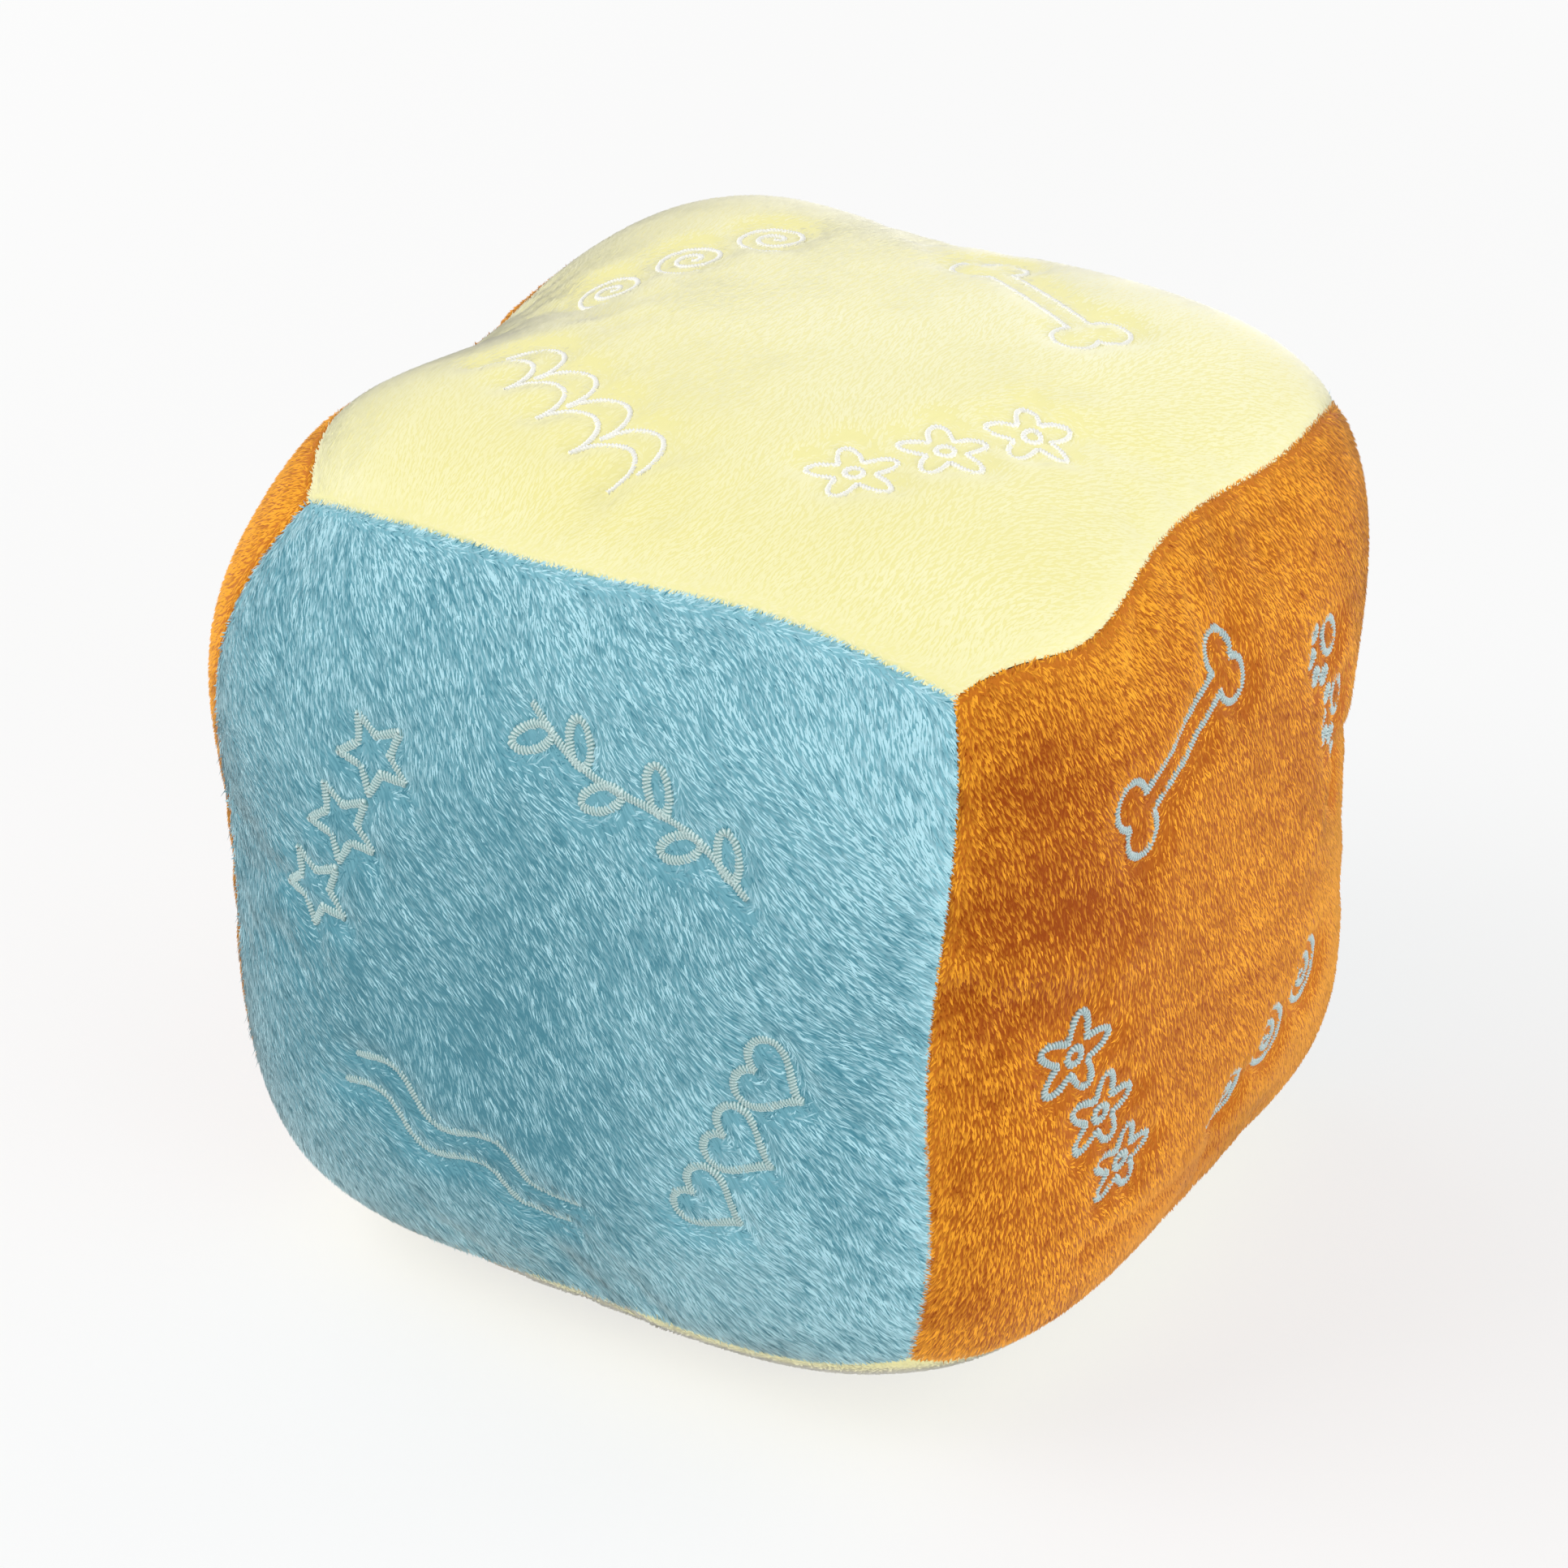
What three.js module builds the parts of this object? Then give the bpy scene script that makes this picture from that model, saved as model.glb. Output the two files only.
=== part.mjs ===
// A stuffed plush cube, a soft training toy: six short-pile panels sewn edge to edge round a fibre filling.
// Millimetres, +Z up. The toy rests on z = 0 and its middle stands over the origin; the front panel faces -Y.
import * as THREE from 'three';
import { mergeVertices } from 'three/addons/utils/BufferGeometryUtils.js';

// Driving sizes, mm.
const WIDTH = 136; // left crown to right crown of the full toy, before it settles on its resting face
const DEPTH = 136; // front crown to back crown
const HEIGHT = 136; // bottom crown to top crown
const CORNER_DRAW = 16; // how far the sewn corners lie inside the crowns
const SETTLE = 1.2; // how far the toy's weight flattens the resting face
const SEAM_WANDER = 10; // how far a seam strays from its straight line where it strays most
const LUMP = 5; // height of a full lump of the filling
const REACH = 20; // how far a stray seam or a lump is felt along the plush
const PLUSH = 3; // thickness of a panel, knitted back and pile together
const SEAM_ROUND = 1.2; // how far a panel rolls over into its seam
const SEAM_GAP = 0.5; // clearance between two sewn panels
const ALLOWANCE = 7; // seam allowance, turned in behind the panel
const ALLOWANCE_THICK = 2; // thickness of the allowance, whose pile is pressed flat
const THREAD = 0.8; // diameter of the machine thread
const CLOSING_THREAD = 1; // diameter of the heavier thread that closes the filling slit by hand
const THREAD_ROOM = 0.5; // clearance round a thread in its seam
const THREAD_END = 3; // how far a thread stops short of a corner, where three seams meet
const SLIT = 50; // length of the slit through which the toy was filled
const FIT = 0.3; // clearance between the filling and the plush, and between thread ends

// Counts.
const STEPS = 11; // facets across a panel and along a seam
const THREAD_SIDES = 4;

const HALF = new THREE.Vector3(WIDTH, DEPTH, HEIGHT).divideScalar(2);
const MEAN_HALF = (HALF.x + HALF.y + HALF.z) / 3;
// The body is a superellipsoid, |x/a|^n + |y/b|^n + |z/c|^n = 1. The three terms are equal at a corner, so
// (1 - draw / half)^n = 1/3 there, which gives the power.
const POWER = Math.log(3) / -Math.log(1 - CORNER_DRAW / MEAN_HALF);
const MM_PER_UNIT = MEAN_HALF * 2 ** (-0.5 - 1 / POWER); // across a seam, for a unit of panel coordinate
const CHANNEL = THREAD_ROOM + Math.max(THREAD, CLOSING_THREAD) / 2; // half width of the thread's channel
const THREAD_DEPTH = SEAM_ROUND + CHANNEL;
const ALLOWANCE_END = PLUSH + ALLOWANCE;

// Finishes, from the photograph.
const LEMON = plush('#f3eea6');
const TEAL = plush('#79b2c2');
const ORANGE = plush('#c87a2e');
const THREAD_FINISH = new THREE.MeshStandardMaterial({ color: '#e9e4d2', roughness: 0.6, metalness: 0 });
const FIBRE = new THREE.MeshStandardMaterial({ color: '#f2f1ec', roughness: 1, metalness: 0 });

// Each panel has its outward axis and two axes along it, across and up, with across x up = out.
const PANELS = {
  top: { out: axis(0, 0, 1), across: axis(1, 0, 0), up: axis(0, 1, 0), finish: LEMON },
  bottom: { out: axis(0, 0, -1), across: axis(1, 0, 0), up: axis(0, -1, 0), finish: LEMON },
  front: { out: axis(0, -1, 0), across: axis(1, 0, 0), up: axis(0, 0, 1), finish: TEAL },
  back: { out: axis(0, 1, 0), across: axis(-1, 0, 0), up: axis(0, 0, 1), finish: TEAL },
  right: { out: axis(1, 0, 0), across: axis(0, 1, 0), up: axis(0, 0, 1), finish: ORANGE },
  left: { out: axis(-1, 0, 0), across: axis(0, -1, 0), up: axis(0, 0, 1), finish: ORANGE },
};

// Where a seam was sewn or pulled off its straight line: the place on a panel (-1 to 1 across and up), the
// shift along the panel as shares of SEAM_WANDER, and how far it is felt as a share of REACH.
const SLIPS = [
  { panel: 'front', u: -1, v: 1, across: 0.9, up: 0.1, reach: 0.8 },
  { panel: 'front', u: 0.5, v: 1, across: 0, up: 0.35, reach: 0.9 },
  { panel: 'front', u: 1, v: 1, across: 0.1, up: 0, reach: 1 },
  { panel: 'front', u: 1, v: 0, across: -0.65, up: 0, reach: 1.3 },
  { panel: 'front', u: 1, v: -1, across: -0.65, up: 0.5, reach: 1.2 },
  { panel: 'front', u: -0.9, v: -1, across: 0, up: 0.55, reach: 0.9 },
  { panel: 'front', u: 0.1, v: -1, across: 0, up: 0.9, reach: 1.2 },
  { panel: 'right', u: 1, v: 1, across: 0, up: -0.3, reach: 0.9 },
  { panel: 'right', u: -0.5, v: 1, across: 0, up: -0.8, reach: 0.65 },
  { panel: 'right', u: 0.4, v: 1, across: 0, up: -0.35, reach: 0.7 },
  { panel: 'right', u: 0, v: -1, across: 0, up: 0.8, reach: 1.2 },
];

// Where the filling pushes the plush out, or a tight seam draws it in: the place, the rise as a share of LUMP,
// and how far it is felt as a share of REACH.
const LUMPS = [
  { panel: 'left', u: 0.8, v: 0.4, rise: 0.7, reach: 0.8 },
  { panel: 'left', u: 0.9, v: -0.3, rise: 0.35, reach: 0.9 },
  { panel: 'front', u: -1, v: 1, rise: -0.3, reach: 0.6 },
  { panel: 'front', u: -1, v: -1, rise: 0.3, reach: 0.9 },
  { panel: 'front', u: 1, v: -1, rise: -0.4, reach: 0.9 },
  { panel: 'top', u: -1, v: -0.1, rise: -0.7, reach: 0.7 },
  { panel: 'top', u: -0.8, v: 1, rise: 0.6, reach: 0.8 },
  { panel: 'top', u: 0.2, v: 1, rise: 0.2, reach: 0.7 },
  { panel: 'top', u: 0.9, v: 0.9, rise: 0.2, reach: 0.9 },
  { panel: 'right', u: 0.6, v: 0, rise: -0.3, reach: 1 },
  { panel: 'right', u: 1, v: -1, rise: 0.6, reach: 0.6 },
];

function axis(x, y, z) {
  return new THREE.Vector3(x, y, z);
}

function plush(color) {
  return new THREE.MeshStandardMaterial({ color, roughness: 0.95, metalness: 0 });
}

// The direction, on a cube of half size 1, of a place on a panel.
function direction({ out, across, up }, u, v) {
  return out.clone().addScaledVector(across, u).addScaledVector(up, v);
}

// Where the superellipsoid lies in a direction, from the middle of the toy.
function ellipsoidPoint(d) {
  const sum = Math.abs(d.x) ** POWER + Math.abs(d.y) ** POWER + Math.abs(d.z) ** POWER;
  return d.clone().multiply(HALF).divideScalar(sum ** (1 / POWER));
}

// The superellipsoid's outward normal at one of its points.
function ellipsoidNormal(p) {
  const part = (x, half) => Math.sign(x) * (Math.abs(x) / half) ** (POWER - 1) / half;
  return axis(part(p.x, HALF.x), part(p.y, HALF.y), part(p.z, HALF.z)).normalize();
}

function bell(distance, reach) {
  return Math.exp(-(distance ** 2) / (2 * reach ** 2));
}

// A point of the toy: the cube's direction d, moved by the slips, on the lumpy superellipsoid, and then
// depth mm in from the surface. The resting face is flat, and what lies behind it rises with it.
function toyPoint(d, depth = 0) {
  const slipped = d.clone();
  for (const { panel, u, v, across, up, reach } of SLIPS) {
    const side = PANELS[panel];
    const distance = slipped.distanceTo(direction(side, u, v)) * MEAN_HALF;
    const share = (bell(distance, reach * REACH) * SEAM_WANDER) / MEAN_HALF;
    slipped.addScaledVector(side.across, across * share).addScaledVector(side.up, up * share);
  }
  const point = ellipsoidPoint(slipped);
  const normal = ellipsoidNormal(point);
  let rise = 0;
  for (const lump of LUMPS) {
    const centre = ellipsoidPoint(direction(PANELS[lump.panel], lump.u, lump.v));
    rise += lump.rise * LUMP * bell(point.distanceTo(centre), lump.reach * REACH);
  }
  point.addScaledVector(normal, rise);
  const floor = SETTLE - HALF.z;
  const lift = Math.max(0, floor - point.z);
  point.setLength(point.length() - depth);
  point.z += lift - floor;
  return point;
}

// Collects triangles and welds them into one closed solid.
class Skin {
  constructor() {
    this.corners = [];
  }

  triangle(a, b, c) {
    this.corners.push(a.x, a.y, a.z, b.x, b.y, b.z, c.x, c.y, c.z);
  }

  quad(a, b, c, d) {
    this.triangle(a, b, c);
    this.triangle(a, c, d);
  }

  // A grid of points, rows[j][i], facing its across x up side, or the other side if it is turned.
  grid(rows, turned = false) {
    for (let j = 0; j + 1 < rows.length; j += 1) {
      for (let i = 0; i + 1 < rows[j].length; i += 1) {
        const [a, b, c, d] = [rows[j][i], rows[j][i + 1], rows[j + 1][i + 1], rows[j + 1][i]];
        this.quad(a, turned ? d : b, c, turned ? b : d);
      }
    }
  }

  // A band of faces from one closed loop of points down to another that runs the same way.
  band(upper, lower) {
    for (let k = 0; k < upper.length; k += 1) {
      const next = (k + 1) % upper.length;
      this.quad(upper[k], lower[k], lower[next], upper[next]);
    }
  }

  // Closes a loop with faces round a middle point.
  fan(middle, loop, turned = false) {
    for (let k = 0; k < loop.length; k += 1) {
      const next = loop[(k + 1) % loop.length];
      this.triangle(middle, ...(turned ? [next, loop[k]] : [loop[k], next]));
    }
  }

  mesh(name, finish) {
    const loose = new THREE.BufferGeometry();
    loose.setAttribute('position', new THREE.Float32BufferAttribute(this.corners, 3));
    const geometry = mergeVertices(loose, 1e-4);
    geometry.computeVertexNormals();
    const mesh = new THREE.Mesh(geometry, finish);
    mesh.name = name;
    return mesh;
  }
}

// Panel coordinates across a panel whose edges lie inset mm inside the seam line.
function stations(inset) {
  const limit = 1 - inset / MM_PER_UNIT;
  return Array.from({ length: STEPS + 1 }, (_, i) => limit * (2 * i / STEPS - 1));
}

// Rows of points over a panel, inset mm from its seams and depth mm in.
function panelRows(side, inset, depth) {
  const places = stations(inset);
  return places.map((v) => places.map((u) => toyPoint(direction(side, u, v), depth)));
}

// The border of such rows, once round and counter-clockwise from outside.
function border(rows) {
  const last = rows.length - 1;
  const low = rows[0].slice(0, last);
  const right = rows.slice(0, last).map((row) => row[last]);
  const high = rows[last].slice(1).reverse();
  const left = rows.slice(1).reverse().map((row) => row[0]);
  return [...low, ...right, ...high, ...left];
}

// A sewn panel: its crown rolls over into the seam, leaves a channel for the thread, and ends in the turned-in
// allowance, which stands round the filling like the rim of a tray.
function panelMesh(name, side) {
  const edge = SEAM_GAP / 2;
  const crown = panelRows(side, edge + SEAM_ROUND, 0);
  const back = panelRows(side, edge + ALLOWANCE_THICK, PLUSH);
  const profile = [
    [edge, SEAM_ROUND],
    [edge + CHANNEL, THREAD_DEPTH],
    [edge, THREAD_DEPTH + CHANNEL],
    [edge, ALLOWANCE_END],
    [edge + ALLOWANCE_THICK, ALLOWANCE_END],
  ];
  const loops = profile.map(([inset, depth]) => border(panelRows(side, inset, depth)));
  const rings = [border(crown), ...loops, border(back)];
  const skin = new Skin();
  skin.grid(crown);
  for (let k = 0; k + 1 < rings.length; k += 1) {
    skin.band(rings[k], rings[k + 1]);
  }
  skin.grid(back, true);
  return skin.mesh(`panel_${name}`, side.finish);
}

// The filling: one mass that fills the six panels to their backs and goes under the turned-in allowances.
function fillingMesh() {
  const inner = stations(SEAM_GAP / 2 + ALLOWANCE_THICK);
  const places = [-1, ...inner, 1];
  const last = places.length - 1;
  const nearEdge = (i) => i <= 1 || i >= last - 1;
  const depth = (i, j) => (nearEdge(i) || nearEdge(j) ? ALLOWANCE_END : PLUSH) + FIT;
  const skin = new Skin();
  for (const side of Object.values(PANELS)) {
    skin.grid(places.map((v, j) => places.map((u, i) => toyPoint(direction(side, u, v), depth(i, j)))));
  }
  return skin.mesh('fibre_filling', FIBRE);
}

// The line of a seam between two panels, at the depth of its thread, as a curve with even lengths.
function seamLine(first, second) {
  const along = first.out.clone().cross(second.out);
  const middle = first.out.clone().add(second.out);
  const count = 4 * STEPS;
  const points = [];
  for (let k = 0; k <= count; k += 1) {
    points.push(toyPoint(middle.clone().addScaledVector(along, 2 * k / count - 1), THREAD_DEPTH));
  }
  return new THREE.CatmullRomCurve3(points);
}

// A thread along a seam between two places, in mm from the seam's first corner.
function threadMesh(name, line, start, end, diameter) {
  const length = line.getLength();
  const centre = axis(0, 0, HALF.z - SETTLE);
  const rings = [];
  const ends = [];
  for (let k = 0; k <= STEPS; k += 1) {
    const share = (start + (end - start) * k / STEPS) / length;
    const point = line.getPointAt(share);
    const tangent = line.getTangentAt(share);
    const outward = point.clone().sub(centre);
    const sideways = tangent.clone().cross(outward).normalize();
    const upright = sideways.clone().cross(tangent);
    const ring = [];
    for (let s = 0; s < THREAD_SIDES; s += 1) {
      const angle = 2 * Math.PI * s / THREAD_SIDES;
      const corner = point.clone().addScaledVector(sideways, Math.cos(angle) * diameter / 2);
      ring.push(corner.addScaledVector(upright, Math.sin(angle) * diameter / 2));
    }
    rings.push(ring);
    ends.push(point);
  }
  const skin = new Skin();
  skin.fan(ends[0], rings[0]);
  for (let k = 0; k < STEPS; k += 1) {
    skin.band(rings[k], rings[k + 1]);
  }
  skin.fan(ends[STEPS], rings[STEPS], true);
  return skin.mesh(name, THREAD_FINISH);
}

function buildToy() {
  const toy = new THREE.Group();
  toy.name = 'plush_cube';
  for (const [name, side] of Object.entries(PANELS)) {
    toy.add(panelMesh(name, side));
  }
  toy.add(fillingMesh());
  const names = Object.keys(PANELS);
  for (const [k, first] of names.entries()) {
    for (const second of names.slice(k + 1)) {
      if (PANELS[first].out.dot(PANELS[second].out) !== 0) {
        continue; // opposite panels share no seam
      }
      const line = seamLine(PANELS[first], PANELS[second]);
      const name = `seam_thread_${first}_${second}`;
      const end = line.getLength() - THREAD_END;
      if (name === 'seam_thread_bottom_back') {
        const slitStart = (line.getLength() - SLIT) / 2;
        const slitEnd = slitStart + SLIT;
        toy.add(threadMesh(`${name}_left`, line, THREAD_END, slitStart, THREAD));
        toy.add(threadMesh('closing_thread', line, slitStart + FIT, slitEnd - FIT, CLOSING_THREAD));
        toy.add(threadMesh(`${name}_right`, line, slitEnd, end, THREAD));
      } else {
        toy.add(threadMesh(name, line, THREAD_END, end, THREAD));
      }
    }
  }
  return toy;
}

export default buildToy();
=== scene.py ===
"""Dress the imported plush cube: sewn panels with standing pile, satin-stitch motifs, seams and filling."""

import logging
from dataclasses import dataclass
from enum import Enum
from typing import Any, Optional

import bpy
import numpy as np
from mathutils import Matrix


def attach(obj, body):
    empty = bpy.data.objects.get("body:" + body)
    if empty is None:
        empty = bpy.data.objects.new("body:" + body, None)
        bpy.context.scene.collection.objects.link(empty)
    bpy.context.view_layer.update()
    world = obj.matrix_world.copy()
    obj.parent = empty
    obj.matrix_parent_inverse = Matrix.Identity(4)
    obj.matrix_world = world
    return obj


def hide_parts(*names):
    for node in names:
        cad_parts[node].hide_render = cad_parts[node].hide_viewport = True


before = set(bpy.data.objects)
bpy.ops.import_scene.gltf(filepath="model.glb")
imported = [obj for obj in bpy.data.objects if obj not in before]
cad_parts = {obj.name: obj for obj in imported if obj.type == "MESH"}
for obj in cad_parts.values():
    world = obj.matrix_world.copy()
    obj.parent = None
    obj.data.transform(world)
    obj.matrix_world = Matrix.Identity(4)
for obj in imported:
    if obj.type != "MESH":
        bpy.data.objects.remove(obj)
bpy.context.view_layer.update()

Array = np.ndarray
MM = 0.001  # every size below is in millimetres, and meshes are in metres
BODY = "root"
log = logging.getLogger("plush_cube")


def linear(colour: str) -> tuple[float, float, float, float]:
    """Turn an sRGB hex colour into linear RGBA.

    Args:
        colour: The colour as "#rrggbb".

    Returns:
        Linear red, green, blue and an alpha of 1.
    """
    srgb = np.array([int(colour[k:k + 2], 16) for k in (1, 3, 5)]) / 255
    rgb = np.where(srgb <= 0.04045, srgb / 12.92, ((srgb + 0.055) / 1.055) ** 2.4)
    return (*map(float, rgb), 1.0)


def unit(vectors: Array) -> Array:
    """Scale vectors along the last axis to length 1."""
    return vectors / np.maximum(np.linalg.norm(vectors, axis=-1, keepdims=True), 1e-12)


def bell(distance: Array, reach: float) -> Array:
    """Give the bell curve exp(-d^2 / 2 reach^2) of a distance."""
    return np.exp(-(distance ** 2) / (2 * reach ** 2))


def smooth_noise(x: Array, y: Array, pitch: float, seed: int) -> Array:
    """Give smooth noise over a plane: random lattice values, blended with 3f^2 - 2f^3 between them.

    Args:
        x: First coordinate, mm.
        y: Second coordinate, mm, of the same shape.
        pitch: Distance between lattice points, mm.
        seed: Seed of the lattice values.

    Returns:
        Values from -1 to 1 in the shape of x.
    """
    size = 512
    lattice = np.random.default_rng(seed).uniform(-1, 1, (size, size))
    gx, gy = x / pitch + size / 2, y / pitch + size / 2
    ix, iy = np.floor(gx).astype(int), np.floor(gy).astype(int)
    fx, fy = gx - ix, gy - iy
    fx, fy = fx * fx * (3 - 2 * fx), fy * fy * (3 - 2 * fy)
    ix, iy, jx, jy = ix % size, iy % size, (ix + 1) % size, (iy + 1) % size
    low = lattice[iy, ix] * (1 - fx) + lattice[iy, jx] * fx
    high = lattice[jy, ix] * (1 - fx) + lattice[jy, jx] * fx
    return low * (1 - fy) + high * fy


def grid_faces(rows: int, columns: int, closed_columns: bool = False) -> Array:
    """List the quads of a grid whose points are numbered row by row.

    Args:
        rows: Number of rows of points.
        columns: Number of points in a row.
        closed_columns: Whether the last column joins the first.

    Returns:
        Point numbers of each quad, counter-clockwise where columns run right and rows run up.
    """
    i = np.arange(columns if closed_columns else columns - 1)
    j = np.arange(rows - 1)[:, None]
    right, above = (i + 1) % columns, j + 1
    quads = [j * columns + i, j * columns + right, above * columns + right, above * columns + i]
    return np.stack(np.broadcast_arrays(*quads), -1).reshape(-1, 4)


def mesh_object(name: str, points: Array, faces: list[Array], attributes: Optional[dict[str, Array]] = None,
                normals: Optional[Array] = None) -> bpy.types.Object:
    """Put arrays of points and faces into a smooth-shaded mesh object.

    Args:
        name: Name of the piece.
        points: Points in mm, (n, 3).
        faces: Arrays of point numbers, each (k, corners).
        attributes: Values on the points by name: (n,) numbers or (n, 3) vectors.
        normals: Normals of the points, where shading needs others than the faces give, (n, 3).

    Returns:
        The new object, at the origin.
    """
    mesh = bpy.data.meshes.new(name)
    corners = np.concatenate([block.reshape(-1) for block in faces]).astype(np.int32)
    sizes = np.concatenate([np.full(len(block), block.shape[1]) for block in faces])
    mesh.vertices.add(len(points))
    mesh.loops.add(len(corners))
    mesh.polygons.add(len(sizes))
    mesh.vertices.foreach_set("co", (points * MM).astype(np.float32).reshape(-1))
    mesh.loops.foreach_set("vertex_index", corners)
    mesh.polygons.foreach_set("loop_start", np.concatenate([[0], np.cumsum(sizes)[:-1]]).astype(np.int32))
    mesh.update(calc_edges=True)
    for key, values in (attributes or {}).items():
        vector = values.ndim == 2
        layer = mesh.attributes.new(key, "FLOAT_VECTOR" if vector else "FLOAT", "POINT")
        layer.data.foreach_set("vector" if vector else "value", values.astype(np.float32).reshape(-1))
    mesh.shade_smooth()
    if normals is not None:
        mesh.normals_split_custom_set_from_vertices(normals.tolist())
    made = bpy.data.objects.new(name, mesh)
    bpy.context.collection.objects.link(made)
    return made


def add_piece(piece: bpy.types.Object, material: bpy.types.Material, stands_for: str = "") -> None:
    """Make a mesh object one of the toy's pieces, which rides on its body, and report it.

    Args:
        piece: The object.
        material: What it is made of.
        stands_for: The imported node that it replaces, if any.
    """
    piece.data.materials.append(material)
    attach(piece, BODY)
    if stands_for:
        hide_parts(stands_for)
    log.info("%s: %d points, %d faces", piece.name, len(piece.data.vertices), len(piece.data.polygons))


def add_node(tree: bpy.types.NodeTree, kind: str, inputs: Optional[dict[Any, Any]] = None, **settings: Any
             ) -> bpy.types.Node:
    """Add a node to a tree, set its properties and feed its inputs.

    Args:
        tree: The material's or world's node tree.
        kind: Blender's name of the node type, without its ShaderNode prefix.
        inputs: Socket name or number to a value, or to the output socket that feeds it.
        settings: Properties of the node.

    Returns:
        The new node.
    """
    node = tree.nodes.new("ShaderNode" + kind)
    for key, value in settings.items():
        setattr(node, key, value)
    for key, value in (inputs or {}).items():
        if isinstance(value, bpy.types.NodeSocket):
            tree.links.new(value, node.inputs[key])
        else:
            node.inputs[key].default_value = value
    return node


def new_material(name: str) -> tuple[bpy.types.Material, bpy.types.NodeTree]:
    """Make an empty node material.

    Args:
        name: Name of the material.

    Returns:
        The material and its node tree.
    """
    material = bpy.data.materials.new(name)
    material.use_nodes = True
    material.node_tree.nodes.clear()
    return material, material.node_tree


class Side(Enum):
    """The six panels: each has its outward axis and its across and up axes, with across x up = out."""

    TOP = ((0, 0, 1), (1, 0, 0), (0, 1, 0))
    BOTTOM = ((0, 0, -1), (1, 0, 0), (0, -1, 0))
    FRONT = ((0, -1, 0), (1, 0, 0), (0, 0, 1))
    BACK = ((0, 1, 0), (-1, 0, 0), (0, 0, 1))
    RIGHT = ((1, 0, 0), (0, 1, 0), (0, 0, 1))
    LEFT = ((-1, 0, 0), (0, -1, 0), (0, 0, 1))

    @property
    def axes(self) -> Array:
        """The out, across and up axes as rows."""
        return np.array(self.value, float)

    @property
    def word(self) -> str:
        """The side's name in piece names."""
        return self.name.lower()

    def direction(self, u: Array, v: Array) -> Array:
        """Give places on the panel, -1 to 1 across and up, as directions on a cube of half size 1."""
        out, across, up = self.axes
        return out + np.multiply.outer(u, across) + np.multiply.outer(v, up)


@dataclass(frozen=True)
class Slip:
    """A seam that wanders off its straight line: its place, shift and reach, as shares of the form's."""

    side: Side
    u: float
    v: float
    across: float
    up: float
    reach: float


@dataclass(frozen=True)
class Lump:
    """A place where the filling pushes out or a tight seam draws in, as shares of the form's sizes."""

    side: Side
    u: float
    v: float
    rise: float
    reach: float


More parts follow.
